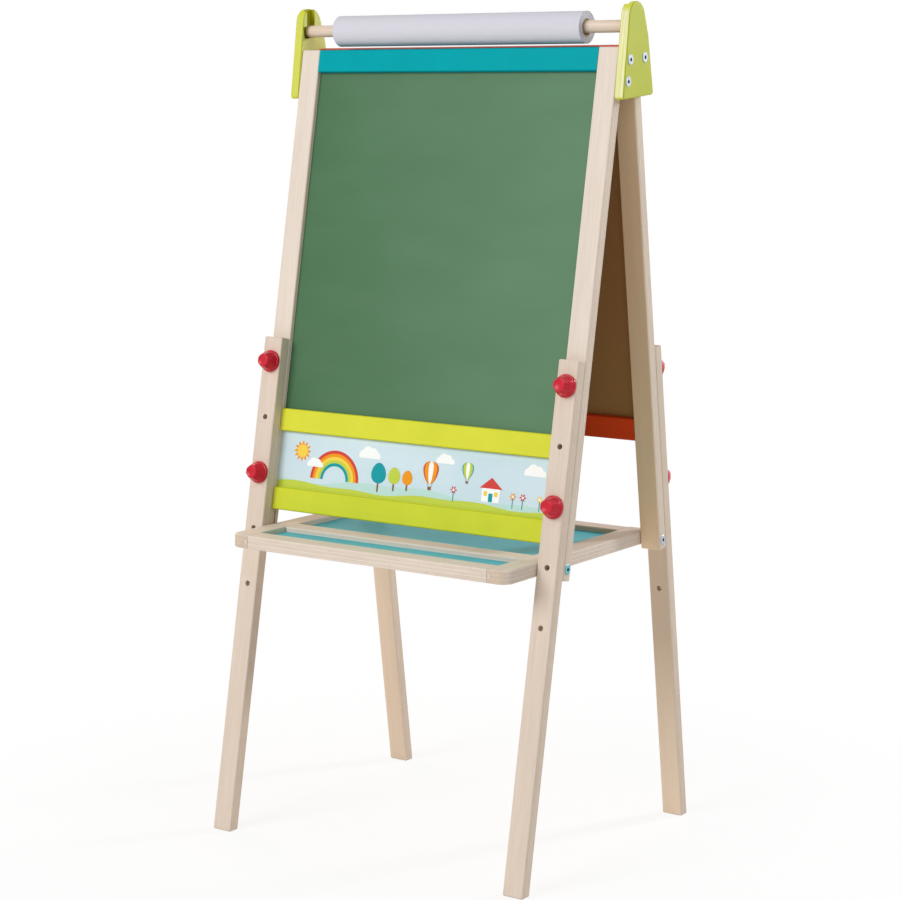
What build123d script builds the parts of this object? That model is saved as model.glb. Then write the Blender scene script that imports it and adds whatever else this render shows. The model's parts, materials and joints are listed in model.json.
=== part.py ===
from build123d import *
import os
from math import cos, radians, sin, tan

# A child's double-sided standing easel, in millimetres and degrees.
# X runs across it, Y from the chalkboard side to the whiteboard side, Z up from the floor.

# Plywood and the two frames
FRAME_WIDTH = 470.0
STILE_WIDTH = 28.0
STILE_TAIL = 41.0
PLY = 16.0
EDGE_ROUND = 2.0
FRONT_LEAN = 10.1
BACK_LEAN = 8.85
TOP_SPREAD = 45.8
RAIL_HEIGHT = 29.0
BOARD_SIGHT = 434.5
STRIP_SIGHT = 72.5

# Panels, their grooves and the rails' hidden dowels
PANEL = 3.0
GROOVE_DEPTH = 6.0
GROOVE_CLEARANCE = 0.1
PANEL_EDGE_CLEARANCE = 0.5
DOWEL_DIAMETER = 6.0
DOWEL_PITCH = 10.0
DOWEL_IN_RAIL = 15.0
DOWEL_IN_STILE = 12.0
DOWEL_IN_CAP = 8.0
DOWEL_CLEARANCE = 0.1

# Legs with their row of holes, and the knobs that hold them
LEG_DROP = 374.0
LEG_LENGTH = 635.0
LEG_CLEARANCE = 0.1
LEG_FIRST_HOLE = 31.4
LEG_HOLE_PITCH = 71.75
LEG_HOLE_COUNT = 5
LEG_HOLE_DIAMETER = 7.0
KNOB_HOLES = (0, 2)
KNOB_FLANGE_DIAMETER = 28.0
KNOB_FLANGE_HEIGHT = 4.0
KNOB_BASE_DIAMETER = 23.0
KNOB_NOSE_DIAMETER = 16.0
KNOB_HEIGHT = 17.5
KNOB_ROUND = 1.2
KNOB_FLUTE_COUNT = 8
KNOB_FLUTE_DIAMETER = 5.0
KNOB_FLUTE_BITE = 0.8
STUD_DIAMETER = 6.0
STUD_IN_KNOB = 10.0
STUD_END_CLEARANCE = 0.3
INSERT_DIAMETER = 10.0
INSERT_LENGTH = 12.0
FIT_CLEARANCE = 0.1

# Brackets, their screws and the fold pivots
BRACKET_THICKNESS = 12.5
BRACKET_RISE = 53.0
BRACKET_DROP = 62.4
BRACKET_FRONT_REACH = 10.2
BRACKET_REAR_REACH = 62.4
BRACKET_REAR_LIFT = 6.6
BRACKET_CORNER_RADIUS = 4.0
BRACKET_BELLY_RADIUS = 25.5
BRACKET_BELLY_REACH = 24.0
BRACKET_BELLY_RISE = 6.7
BRACKET_TOP_RADIUS = 18.9
BRACKET_TOP_REACH = 20.5
BRACKET_EDGE_ROUND = 1.5
BRACKET_SCREW_DROPS = (14.5, 40.5)
PIVOT_DROP = 14.5
SCREW_DIAMETER = 6.0
PIVOT_DIAMETER = 6.0
PIVOT_CLEARANCE = 0.3
SCREW_IN_STILE = 15.0
HEAD_DIAMETER = 12.5
HEAD_HEIGHT = 0.9
HEAD_CHAMFER = 0.4
HEX_ACROSS_FLATS = 4.0
HEX_DEPTH = 3.0

# Roll dowel, cardboard core and paper
ROD_DIAMETER = 15.0
ROD_REACH = 16.9
ROD_RISE = 24.0
ROD_END_ROUND = 2.5
ROD_END_CLEARANCE = 2.0
CHANNEL_DEPTH = 6.0
CHANNEL_CLEARANCE = 0.3
ROD_SEAT_GAP = 0.3
ARM_HEIGHT = 15.6
ARM_REACH = 14.8
ARM_ROUND = 2.0
CORE_BORE = 17.0
CORE_WALL = 2.0
CORE_SEAT_GAP = 0.3
PAPER_DIAMETER = 39.5
PAPER_LENGTH = 366.0
PAPER_SHIFT = -2.5
PAPER_CORE_CLEARANCE = 0.05

# Tray
TRAY_PLY = 17.0
TRAY_SIDE_CLEARANCE = 0.5
TRAY_RAIL_WIDTH = 28.0
TRAY_OVERHANG = 88.5
TROUGH_WIDTH = 49.0
TRAY_TAIL = 4.0
TRAY_LIP = 6.4
TRAY_PANEL = 4.0
TRAY_CORNER_RADIUS = 15.0
TRAY_DOWEL_LENGTH = 16.0
BOLT_END_DISTANCE = 14.1
BOLT_DIAMETER = 6.0
BOLT_CLEARANCE = 0.3
BARREL_DIAMETER = 10.0
BARREL_HEIGHT = 12.0
BARREL_INSET = 11.0
BOLT_PAST_BARREL = 2.0

# Worked out from the values above
HALF_WIDTH = FRAME_WIDTH / 2
SIGHT_WIDTH = FRAME_WIDTH - 2 * STILE_WIDTH
STILE_X = HALF_WIDTH - STILE_WIDTH / 2
GROOVE_WIDTH = PANEL + 2 * GROOVE_CLEARANCE
TONGUE_LENGTH = GROOVE_DEPTH - PANEL_EDGE_CLEARANCE
SLOPE_LENGTH = LEG_DROP + LEG_LENGTH
FOOT_SPREAD = TOP_SPREAD + SLOPE_LENGTH * (sin(radians(FRONT_LEAN)) + sin(radians(BACK_LEAN)))
MIDDLE_RAIL_DROP = RAIL_HEIGHT + BOARD_SIGHT
BOTTOM_RAIL_DROP = MIDDLE_RAIL_DROP + RAIL_HEIGHT + STRIP_SIGHT
STILE_LENGTH = BOTTOM_RAIL_DROP + RAIL_HEIGHT + STILE_TAIL
KNOB_DROPS = [LEG_DROP + LEG_FIRST_HOLE + hole * LEG_HOLE_PITCH for hole in KNOB_HOLES]
FRONT_BOLT_DROP = STILE_LENGTH - BOLT_END_DISTANCE


def frame_place(lean, facing):
    """Place of a frame's own axes: x across, y inward from its outer face, z up from its stiles' tops.

    lean is the angle from upright; facing is -1 for the chalkboard side and +1 for the whiteboard side.
    """
    top_z = SLOPE_LENGTH * cos(radians(lean))
    top_y = facing * (FOOT_SPREAD / 2 - top_z * tan(radians(lean)))
    turn = 0 if facing < 0 else 180
    return Pos(0, top_y, top_z) * Rot(facing * lean, 0, 0) * Rot(0, 0, turn)


FRONT = frame_place(FRONT_LEAN, -1)
BACK = frame_place(BACK_LEAN, 1)
FRONT_BOLT = (FRONT * Pos(0, PLY / 2, -FRONT_BOLT_DROP)).position
BACK_TOP = BACK.position
BACK_BOLT_DROP = (BACK_TOP.Z - FRONT_BOLT.Z) / cos(radians(BACK_LEAN)) - PLY / 2 * tan(radians(BACK_LEAN))
BACK_BOLT = (BACK * Pos(0, PLY / 2, -BACK_BOLT_DROP)).position
PIVOT = (BACK * Pos(0, PLY / 2, -PIVOT_DROP)).position
FRONT_TOP = FRONT.position
ROD_Y = FRONT_TOP.Y + ROD_REACH
ROD_Z = FRONT_TOP.Z + ROD_RISE
BRACKET_TOP_Z = FRONT_TOP.Z + BRACKET_RISE


def rod_x(diameter, start, end, y, z):
    """A round bar along X from start to end at the given y and z."""
    middle = (start + end) / 2
    return Pos(middle, y, z) * Rot(0, 90, 0) * Cylinder(diameter / 2, abs(end - start))


def rod_y(diameter, start, end, x, z):
    """A round bar along Y from start to end at the given x and z."""
    middle = (start + end) / 2
    return Pos(x, middle, z) * Rot(90, 0, 0) * Cylinder(diameter / 2, abs(end - start))


def block(x_range, y_range, z_range):
    """A box from its ranges along X, Y and Z."""
    lows = [min(pair) for pair in (x_range, y_range, z_range)]
    sizes = [abs(pair[1] - pair[0]) for pair in (x_range, y_range, z_range)]
    return Pos(*lows) * Box(*sizes, align=(Align.MIN, Align.MIN, Align.MIN))


def socket_screw(diameter, length):
    """A flat-headed furniture screw along Z: head above Z = 0, shank below, hexagon socket in the head."""
    head = Pos(0, 0, HEAD_HEIGHT / 2) * Cylinder(HEAD_DIAMETER / 2, HEAD_HEIGHT)
    head = chamfer(head.edges().group_by(Axis.Z)[-1], HEAD_CHAMFER)
    shank = Pos(0, 0, -length / 2) * Cylinder(diameter / 2, length)
    hexagon = RegularPolygon(HEX_ACROSS_FLATS / 2, 6, major_radius=False)
    socket = extrude(Pos(0, 0, HEAD_HEIGHT) * hexagon, -HEX_DEPTH)
    return head + shank - socket


def side_screw(side, face_x, y, z, diameter, length):
    """A socket screw whose head rests on an outward side face, going inward along X."""
    return Pos(side * face_x, y, z) * Rot(0, side * 90, 0) * socket_screw(diameter, length)


# The frames, in their own axes

def dowel_heights(rail_drop):
    """Heights of a rail end's two dowels."""
    middle = -(rail_drop + RAIL_HEIGHT / 2)
    return [middle - DOWEL_PITCH / 2, middle + DOWEL_PITCH / 2]


def rail_dowels(rail_drops):
    """The hidden dowels that hold a frame's rails between its stiles."""
    start = SIGHT_WIDTH / 2 - DOWEL_IN_RAIL
    end = SIGHT_WIDTH / 2 + DOWEL_IN_STILE
    return [
        rod_x(DOWEL_DIAMETER, side * start, side * end, PLY / 2, height)
        for drop in rail_drops
        for height in dowel_heights(drop)
        for side in (-1, 1)
    ]


def dowel_holes(rail_drops, side):
    """The dowel holes on one side of a frame, cut from both its stile and its rails."""
    start = SIGHT_WIDTH / 2 - DOWEL_IN_RAIL - DOWEL_CLEARANCE
    end = SIGHT_WIDTH / 2 + DOWEL_IN_STILE + DOWEL_CLEARANCE
    bore = DOWEL_DIAMETER + 2 * DOWEL_CLEARANCE
    heights = [height for drop in rail_drops for height in dowel_heights(drop)]
    return [rod_x(bore, side * start, side * end, PLY / 2, height) for height in heights]


def cap_dowels(clearance):
    """The upright dowels between stiles and a rail over them, or their holes with a clearance."""
    low = -RAIL_HEIGHT - DOWEL_IN_STILE - clearance
    high = -RAIL_HEIGHT + DOWEL_IN_CAP + clearance
    pin = Cylinder(DOWEL_DIAMETER / 2 + clearance, high - low)
    return [Pos(side * STILE_X, PLY / 2, (low + high) / 2) * pin for side in (-1, 1)]


def stile(side, top_drop, rail_drops, bolt_drop, screw_drops):
    """One stile: rounded plywood with its panel groove, dowel, insert, screw and tray bolt holes."""
    inner = side * SIGHT_WIDTH / 2
    outer = side * HALF_WIDTH
    body = block((inner, outer), (0, PLY), (-STILE_LENGTH, -top_drop))
    body = fillet(body.edges(), EDGE_ROUND)
    groove_y = (PLY / 2 - GROOVE_WIDTH / 2, PLY / 2 + GROOVE_WIDTH / 2)
    body -= block((inner, inner + side * GROOVE_DEPTH), groove_y, (-STILE_LENGTH, 0))
    body -= dowel_holes(rail_drops, side)
    insert_bore = INSERT_DIAMETER + 2 * FIT_CLEARANCE
    for drop in KNOB_DROPS:
        body -= rod_y(insert_bore, 0, INSERT_LENGTH + FIT_CLEARANCE, side * STILE_X, -drop)
    screw_end = outer - side * (SCREW_IN_STILE + FIT_CLEARANCE)
    for drop in screw_drops:
        body -= rod_x(SCREW_DIAMETER + 2 * FIT_CLEARANCE, outer, screw_end, PLY / 2, -drop)
    body -= rod_x(BOLT_DIAMETER + 2 * BOLT_CLEARANCE, inner, outer, PLY / 2, -bolt_drop)
    return body


def rail(drop, groove_above, groove_below):
    """One rail between the stiles, with stub tongues, panel grooves and dowel holes."""
    end = SIGHT_WIDTH / 2
    bottom = -(drop + RAIL_HEIGHT)
    body = block((-end, end), (0, PLY), (bottom, -drop))
    body = fillet(body.edges().filter_by(Axis.X), EDGE_ROUND)
    groove_y = (PLY / 2 - GROOVE_WIDTH / 2, PLY / 2 + GROOVE_WIDTH / 2)
    tongue_y = (PLY / 2 - PANEL / 2, PLY / 2 + PANEL / 2)
    tongue_top = -drop
    tongue_bottom = bottom
    if groove_above:
        body -= block((-end, end), groove_y, (-drop - GROOVE_DEPTH, -drop))
        tongue_top -= GROOVE_DEPTH
    if groove_below:
        body -= block((-end, end), groove_y, (bottom, bottom + GROOVE_DEPTH))
        tongue_bottom += GROOVE_DEPTH
    for side in (-1, 1):
        body += block((side * end, side * (end + TONGUE_LENGTH)), tongue_y, (tongue_bottom, tongue_top))
        body -= dowel_holes([drop], side)
    return body


def cap_rail():
    """A top rail over its stiles: rounded, with a stopped panel groove and a pivot hole in each end."""
    body = block((-HALF_WIDTH, HALF_WIDTH), (0, PLY), (-RAIL_HEIGHT, 0))
    body = fillet(body.edges(), EDGE_ROUND)
    reach = SIGHT_WIDTH / 2 + GROOVE_DEPTH
    groove_y = (PLY / 2 - GROOVE_WIDTH / 2, PLY / 2 + GROOVE_WIDTH / 2)
    body -= block((-reach, reach), groove_y, (-RAIL_HEIGHT, -RAIL_HEIGHT + GROOVE_DEPTH))
    body -= cap_dowels(DOWEL_CLEARANCE)
    pivot_bore = PIVOT_DIAMETER + 2 * FIT_CLEARANCE
    pivot_end = HALF_WIDTH - SCREW_IN_STILE - FIT_CLEARANCE
    for side in (-1, 1):
        body -= rod_x(pivot_bore, side * HALF_WIDTH, side * pivot_end, PLY / 2, -PIVOT_DROP)
    return body


def panel(drop, sight):
    """A board in the grooves of its frame, standing on the groove of the rail below it."""
    reach = SIGHT_WIDTH / 2 + TONGUE_LENGTH
    top = -drop + TONGUE_LENGTH
    bottom = -drop - sight - GROOVE_DEPTH
    return block((-reach, reach), (PLY / 2 - PANEL / 2, PLY / 2 + PANEL / 2), (bottom, top))


def inserts():
    """The threaded sleeves in a frame's stiles, flush with the outer face behind the legs."""
    sleeves = []
    for side in (-1, 1):
        for drop in KNOB_DROPS:
            sleeve = rod_y(INSERT_DIAMETER, 0, INSERT_LENGTH, side * STILE_X, -drop)
            sleeves.append(sleeve - rod_y(STUD_DIAMETER, 0, INSERT_LENGTH, side * STILE_X, -drop))
    return sleeves


def leg(side, lean):
    """One extension leg on a stile's outer face: foot cut level with the floor, row of holes."""
    inner = -LEG_CLEARANCE
    outer = inner - PLY
    foot_slope = tan(radians(lean))
    outline = Polyline(
        (inner, -LEG_DROP),
        (outer, -LEG_DROP),
        (outer, -SLOPE_LENGTH + outer * foot_slope),
        (inner, -SLOPE_LENGTH + inner * foot_slope),
        close=True,
    )
    body = extrude(Plane.YZ * make_face(outline), STILE_WIDTH / 2, both=True)
    body = Pos(side * STILE_X, 0, 0) * fillet(body.edges(), EDGE_ROUND)
    for hole in range(LEG_HOLE_COUNT):
        height = -(LEG_DROP + LEG_FIRST_HOLE + hole * LEG_HOLE_PITCH)
        body -= rod_y(LEG_HOLE_DIAMETER, outer, inner, side * STILE_X, height)
    return body


# Knobs, about their own axis: Z points out of the leg and Z = 0 rests on it

def knob():
    """A red thumb knob: round flange, tapering fluted grip and a flat nose, bored for its stud."""
    flange = Pos(0, 0, KNOB_FLANGE_HEIGHT / 2) * Cylinder(KNOB_FLANGE_DIAMETER / 2, KNOB_FLANGE_HEIGHT)
    flange = fillet(flange.edges().group_by(Axis.Z)[-1], KNOB_ROUND)
    grip_height = KNOB_HEIGHT - KNOB_FLANGE_HEIGHT
    grip = Cone(KNOB_BASE_DIAMETER / 2, KNOB_NOSE_DIAMETER / 2, grip_height)
    grip = fillet(grip.edges().group_by(Axis.Z)[-1], KNOB_ROUND)
    grip = Pos(0, 0, KNOB_FLANGE_HEIGHT + grip_height / 2) * grip
    taper = (KNOB_BASE_DIAMETER - KNOB_NOSE_DIAMETER) / 2 / grip_height
    flute_x = KNOB_BASE_DIAMETER / 2 + KNOB_FLUTE_DIAMETER / 2 - KNOB_FLUTE_BITE
    flute_length = 2 * KNOB_HEIGHT
    flute_face = Plane(origin=(flute_x, 0, KNOB_FLANGE_HEIGHT), z_dir=(-taper, 0, 1))
    flute = extrude(flute_face * Circle(KNOB_FLUTE_DIAMETER / 2), flute_length)
    flute -= block((0, 2 * flute_x), (-flute_x, flute_x), (0, KNOB_FLANGE_HEIGHT))
    for count in range(KNOB_FLUTE_COUNT):
        grip -= Rot(0, 0, count * 360 / KNOB_FLUTE_COUNT) * flute
    bore = Pos(0, 0, STUD_IN_KNOB / 2) * Cylinder(STUD_DIAMETER / 2 + FIT_CLEARANCE, STUD_IN_KNOB)
    return flange + grip - bore


def stud():
    """The steel stud held in the knob, reaching through the leg."""
    reach = PLY - STUD_END_CLEARANCE
    return Pos(0, 0, (STUD_IN_KNOB - reach) / 2) * Cylinder(STUD_DIAMETER / 2, STUD_IN_KNOB + reach)


def knob_place(side, drop):
    """Place of a knob on its leg, in the frame's own axes."""
    return Pos(side * STILE_X, -LEG_CLEARANCE - PLY, -drop) * Rot(90, 0, 0)


# Brackets and roll, in the easel's axes

def bracket_outline():
    """The bracket's side view: two corners, a full rear edge and a round top joined by tangent lines."""
    front = BRACKET_CORNER_RADIUS - BRACKET_FRONT_REACH
    rear = BRACKET_REAR_REACH - BRACKET_CORNER_RADIUS
    low = BRACKET_CORNER_RADIUS - BRACKET_DROP
    top = BRACKET_RISE - BRACKET_TOP_RADIUS
    rounds = [
        Pos(front, low) * Circle(BRACKET_CORNER_RADIUS),
        Pos(rear, low + BRACKET_REAR_LIFT) * Circle(BRACKET_CORNER_RADIUS),
        Pos(BRACKET_BELLY_REACH, BRACKET_BELLY_RISE) * Circle(BRACKET_BELLY_RADIUS),
        Pos(BRACKET_TOP_REACH, top) * Circle(BRACKET_TOP_RADIUS),
    ]
    hull = make_hull([edge for circle in rounds for edge in circle.edges()])
    return Pos(FRONT_TOP.Y, FRONT_TOP.Z) * hull


def rod_channel():
    """The groove in the right bracket's inner face: down from the top, with an arm square to the stile."""
    half = ROD_DIAMETER / 2 + CHANNEL_CLEARANCE
    seat_z = ROD_Z - ROD_SEAT_GAP + CHANNEL_CLEARANCE
    x_range = (HALF_WIDTH, HALF_WIDTH + CHANNEL_DEPTH)
    drop_in = block(x_range, (ROD_Y - half, ROD_Y + half), (seat_z, BRACKET_TOP_Z))
    seat = rod_x(2 * half, *x_range, ROD_Y, seat_z)
    arm = block(x_range, (-ARM_REACH, 0), (-ARM_HEIGHT / 2, ARM_HEIGHT / 2))
    arm = fillet(arm.edges().filter_by(Axis.X).group_by(Axis.Y)[0], ARM_ROUND)
    return drop_in + seat + Pos(0, ROD_Y, ROD_Z) * Rot(FRONT_LEAN, 0, 0) * arm


def bracket():
    """The right bracket with its groove and screw holes."""
    body = extrude(Plane.YZ.offset(HALF_WIDTH) * bracket_outline(), BRACKET_THICKNESS)
    rims = body.edges().group_by(Axis.X)
    body = fillet(rims[0] + rims[-1], BRACKET_EDGE_ROUND)
    body -= rod_channel()
    x_range = (HALF_WIDTH, HALF_WIDTH + BRACKET_THICKNESS)
    for drop in BRACKET_SCREW_DROPS:
        spot = (FRONT * Pos(0, PLY / 2, -drop)).position
        body -= rod_x(SCREW_DIAMETER + 2 * FIT_CLEARANCE, *x_range, spot.Y, spot.Z)
    body -= rod_x(PIVOT_DIAMETER + 2 * PIVOT_CLEARANCE, *x_range, PIVOT.Y, PIVOT.Z)
    return body


def bracket_screws():
    """The two screws a side that fix the brackets to the front stiles."""
    face_x = HALF_WIDTH + BRACKET_THICKNESS
    length = BRACKET_THICKNESS + SCREW_IN_STILE
    spots = [(FRONT * Pos(0, PLY / 2, -drop)).position for drop in BRACKET_SCREW_DROPS]
    return [
        side_screw(side, face_x, spot.Y, spot.Z, SCREW_DIAMETER, length)
        for side in (-1, 1)
        for spot in spots
    ]


def pivot_screws():
    """The screw a side on which the back frame folds."""
    face_x = HALF_WIDTH + BRACKET_THICKNESS
    length = BRACKET_THICKNESS + SCREW_IN_STILE
    return [side_screw(side, face_x, PIVOT.Y, PIVOT.Z, PIVOT_DIAMETER, length) for side in (-1, 1)]


def roll_rod():
    """The wooden dowel that carries the paper, its ends rounded over."""
    reach = HALF_WIDTH + CHANNEL_DEPTH - ROD_END_CLEARANCE
    body = rod_x(ROD_DIAMETER, -reach, reach, ROD_Y, ROD_Z)
    return fillet(body.edges().filter_by(GeomType.CIRCLE), ROD_END_ROUND)


def roll_tube(outer, inner):
    """A tube of the paper roll, hanging on the dowel."""
    start = PAPER_SHIFT - PAPER_LENGTH / 2
    end = PAPER_SHIFT + PAPER_LENGTH / 2
    roll_z = ROD_Z - (CORE_BORE - ROD_DIAMETER) / 2 + CORE_SEAT_GAP
    return rod_x(outer, start, end, ROD_Y, roll_z) - rod_x(inner, start, end, ROD_Y, roll_z)


# Tray, in the easel's axes

TRAY_HALF = SIGHT_WIDTH / 2 - TRAY_SIDE_CLEARANCE
TRAY_INNER = TRAY_HALF - TRAY_RAIL_WIDTH
TRAY_Z = FRONT_BOLT.Z
TRAY_TOP = TRAY_Z + TRAY_PLY / 2
TRAY_BOTTOM = TRAY_Z - TRAY_PLY / 2
TRAY_FRONT_Y = FRONT_BOLT.Y - TRAY_OVERHANG
TRAY_MIDDLE_Y = TRAY_FRONT_Y + TRAY_RAIL_WIDTH + TROUGH_WIDTH
TRAY_REAR_Y = BACK_BOLT.Y - TRAY_RAIL_WIDTH / 2
TRAY_END_Y = TRAY_REAR_Y + TRAY_RAIL_WIDTH + TRAY_TAIL
TRAY_PANEL_Z = (TRAY_TOP - TRAY_LIP - TRAY_PANEL, TRAY_TOP - TRAY_LIP)
TRAY_GROOVE_Z = (TRAY_PANEL_Z[0] - GROOVE_CLEARANCE, TRAY_PANEL_Z[1] + GROOVE_CLEARANCE)
TRAY_RAIL_YS = (TRAY_FRONT_Y, TRAY_MIDDLE_Y, TRAY_REAR_Y)
TRAY_BOLT_YS = (FRONT_BOLT.Y, BACK_BOLT.Y)


def tray_dowels(clearance, side):
    """The hidden dowels at one end of the tray's cross rails, or their holes with a clearance."""
    middle = TRAY_INNER
    reach = TRAY_DOWEL_LENGTH / 2 + clearance
    return [
        rod_x(
            DOWEL_DIAMETER + 2 * clearance,
            side * (middle - reach),
            side * (middle + reach),
            y + TRAY_RAIL_WIDTH / 2,
            TRAY_Z,
        )
        for y in TRAY_RAIL_YS
    ]


def tray_side_rail(side):
    """A side rail: rounded front corner, panel groove along its inner face, bolt and barrel nut holes."""
    outer = side * TRAY_HALF
    inner = side * TRAY_INNER
    body = block((inner, outer), (TRAY_FRONT_Y, TRAY_END_Y), (TRAY_BOTTOM, TRAY_TOP))
    uprights = body.edges().filter_by(Axis.Z)
    corner = uprights.sort_by_distance((outer, TRAY_FRONT_Y, TRAY_Z))[0]
    body = fillet(corner, TRAY_CORNER_RADIUS)
    levels = body.edges().group_by(Axis.Z)
    rims = (levels[0] + levels[-1]).filter_by(lambda edge: abs(edge.center().X - inner) > EDGE_ROUND)
    body = fillet(rims, EDGE_ROUND)
    groove_x = (inner, inner + side * GROOVE_DEPTH)
    body -= block(groove_x, (TRAY_FRONT_Y, TRAY_END_Y), TRAY_GROOVE_Z)
    body -= tray_dowels(DOWEL_CLEARANCE, side)
    barrel_x = side * (TRAY_HALF - BARREL_INSET)
    bolt_end = side * (TRAY_HALF - BARREL_INSET - BARREL_DIAMETER / 2 - BOLT_PAST_BARREL)
    barrel_bore = BARREL_DIAMETER / 2 + FIT_CLEARANCE
    barrel_top = TRAY_Z + BARREL_HEIGHT / 2
    for y in TRAY_BOLT_YS:
        body -= rod_x(BOLT_DIAMETER + 2 * BOLT_CLEARANCE, bolt_end, outer, y, TRAY_Z)
        depth = barrel_top - TRAY_BOTTOM
        body -= Pos(barrel_x, y, TRAY_BOTTOM + depth / 2) * Cylinder(barrel_bore, depth)
    return body


def tray_cross_rail(y, groove_front, groove_rear):
    """A cross rail with stub tongues in the side rails' grooves and panel grooves where panels meet it."""
    y_range = (y, y + TRAY_RAIL_WIDTH)
    body = block((-TRAY_INNER, TRAY_INNER), y_range, (TRAY_BOTTOM, TRAY_TOP))
    body = fillet(body.edges().filter_by(Axis.X), EDGE_ROUND)
    x_range = (-TRAY_INNER, TRAY_INNER)
    tongue_front = y
    tongue_rear = y + TRAY_RAIL_WIDTH
    if groove_front:
        body -= block(x_range, (y, y + GROOVE_DEPTH), TRAY_GROOVE_Z)
        tongue_front += GROOVE_DEPTH
    if groove_rear:
        body -= block(x_range, (tongue_rear - GROOVE_DEPTH, tongue_rear), TRAY_GROOVE_Z)
        tongue_rear -= GROOVE_DEPTH
    for side in (-1, 1):
        tongue_x = (side * TRAY_INNER, side * (TRAY_INNER + TONGUE_LENGTH))
        body += block(tongue_x, (tongue_front, tongue_rear), TRAY_PANEL_Z)
        body -= tray_dowels(DOWEL_CLEARANCE, side)
    return body


def tray_panel(front_y, rear_y):
    """A tray bottom between two cross rails, resting in their grooves."""
    x_reach = TRAY_INNER + TONGUE_LENGTH
    return block((-x_reach, x_reach), (front_y - TONGUE_LENGTH, rear_y + TONGUE_LENGTH), TRAY_PANEL_Z)


def barrel_nuts():
    """The cross-dowel nuts in the side rails that take the tray bolts."""
    nuts = []
    for side in (-1, 1):
        for y in TRAY_BOLT_YS:
            spot = Pos(side * (TRAY_HALF - BARREL_INSET), y, TRAY_Z)
            nut = spot * Cylinder(BARREL_DIAMETER / 2, BARREL_HEIGHT)
            reach = BARREL_DIAMETER
            bore = rod_x(BOLT_DIAMETER + 2 * FIT_CLEARANCE, -reach, reach, 0, 0)
            nuts.append(nut - spot * bore)
    return nuts


def front_bolts():
    """The bolts through the front stiles on which the tray hangs."""
    length = STILE_WIDTH + TRAY_SIDE_CLEARANCE + BARREL_INSET + BARREL_DIAMETER / 2
    return [side_screw(side, HALF_WIDTH, FRONT_BOLT.Y, TRAY_Z, BOLT_DIAMETER, length) for side in (-1, 1)]


def rear_bolts():
    """The bolts in the back stiles, drawn back clear of the tray so that the frame can fold."""
    length = STILE_WIDTH
    return [side_screw(side, HALF_WIDTH, BACK_BOLT.Y, TRAY_Z, BOLT_DIAMETER, length) for side in (-1, 1)]


# Every piece by its node's name

FRONT_RAIL_DROPS = (0.0, MIDDLE_RAIL_DROP, BOTTOM_RAIL_DROP)
BACK_RAIL_DROPS = (MIDDLE_RAIL_DROP,)
SIDES = {"left": -1, "right": 1}
KNOB_LEVELS = {"upper": KNOB_DROPS[0], "lower": KNOB_DROPS[1]}


def group(solids, place=Location()):
    """Separate solids kept together in one node."""
    return Compound(children=[place * solid for solid in solids])


def front_frame():
    """The chalkboard frame with its brackets."""
    right_bracket = bracket()
    pieces = {}
    for name, side in SIDES.items():
        upright = stile(side, 0.0, FRONT_RAIL_DROPS, FRONT_BOLT_DROP, BRACKET_SCREW_DROPS)
        pieces[f"front_{name}_stile"] = FRONT * upright
    pieces["front_top_rail"] = FRONT * rail(0.0, False, True)
    pieces["front_middle_rail"] = FRONT * rail(MIDDLE_RAIL_DROP, True, True)
    pieces["front_bottom_rail"] = FRONT * rail(BOTTOM_RAIL_DROP, True, False)
    pieces["chalkboard_panel"] = FRONT * panel(RAIL_HEIGHT, BOARD_SIGHT)
    pieces["picture_panel"] = FRONT * panel(MIDDLE_RAIL_DROP + RAIL_HEIGHT, STRIP_SIGHT)
    pieces["front_rail_dowels"] = group(rail_dowels(FRONT_RAIL_DROPS), FRONT)
    pieces["front_stile_inserts"] = group(inserts(), FRONT)
    pieces["right_bracket"] = right_bracket
    pieces["left_bracket"] = mirror(right_bracket, about=Plane.YZ)
    pieces["bracket_screws"] = group(bracket_screws())
    return pieces


def back_frame():
    """The whiteboard frame, turned to face the other way; its top rail lies over its stiles."""
    pieces = {}
    for name, side in SIDES.items():
        upright = stile(-side, RAIL_HEIGHT, BACK_RAIL_DROPS, BACK_BOLT_DROP, ())
        pieces[f"back_{name}_stile"] = BACK * (upright - cap_dowels(DOWEL_CLEARANCE))
    pieces["back_top_rail"] = BACK * cap_rail()
    pieces["back_bottom_rail"] = BACK * rail(MIDDLE_RAIL_DROP, True, False)
    pieces["whiteboard_panel"] = BACK * panel(RAIL_HEIGHT, BOARD_SIGHT)
    pieces["back_rail_dowels"] = group(rail_dowels(BACK_RAIL_DROPS) + cap_dowels(0.0), BACK)
    pieces["back_stile_inserts"] = group(inserts(), BACK)
    pieces["pivot_screws"] = group(pivot_screws())
    pieces["rear_tray_bolts"] = group(rear_bolts())
    return pieces


def legs_and_knobs():
    """The four legs, each with its two knobs and their studs."""
    pieces = {}
    one_knob = knob()
    one_stud = stud()
    frames = (("front", FRONT, FRONT_LEAN, 1), ("back", BACK, BACK_LEAN, -1))
    for frame_name, place, lean, turn in frames:
        for name, side in SIDES.items():
            pieces[f"{frame_name}_{name}_leg"] = place * leg(turn * side, lean)
            for level, drop in KNOB_LEVELS.items():
                spot = place * knob_place(turn * side, drop)
                pieces[f"{frame_name}_{name}_{level}_knob"] = spot * one_knob
                pieces[f"{frame_name}_{name}_{level}_stud"] = spot * one_stud
    return pieces


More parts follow.
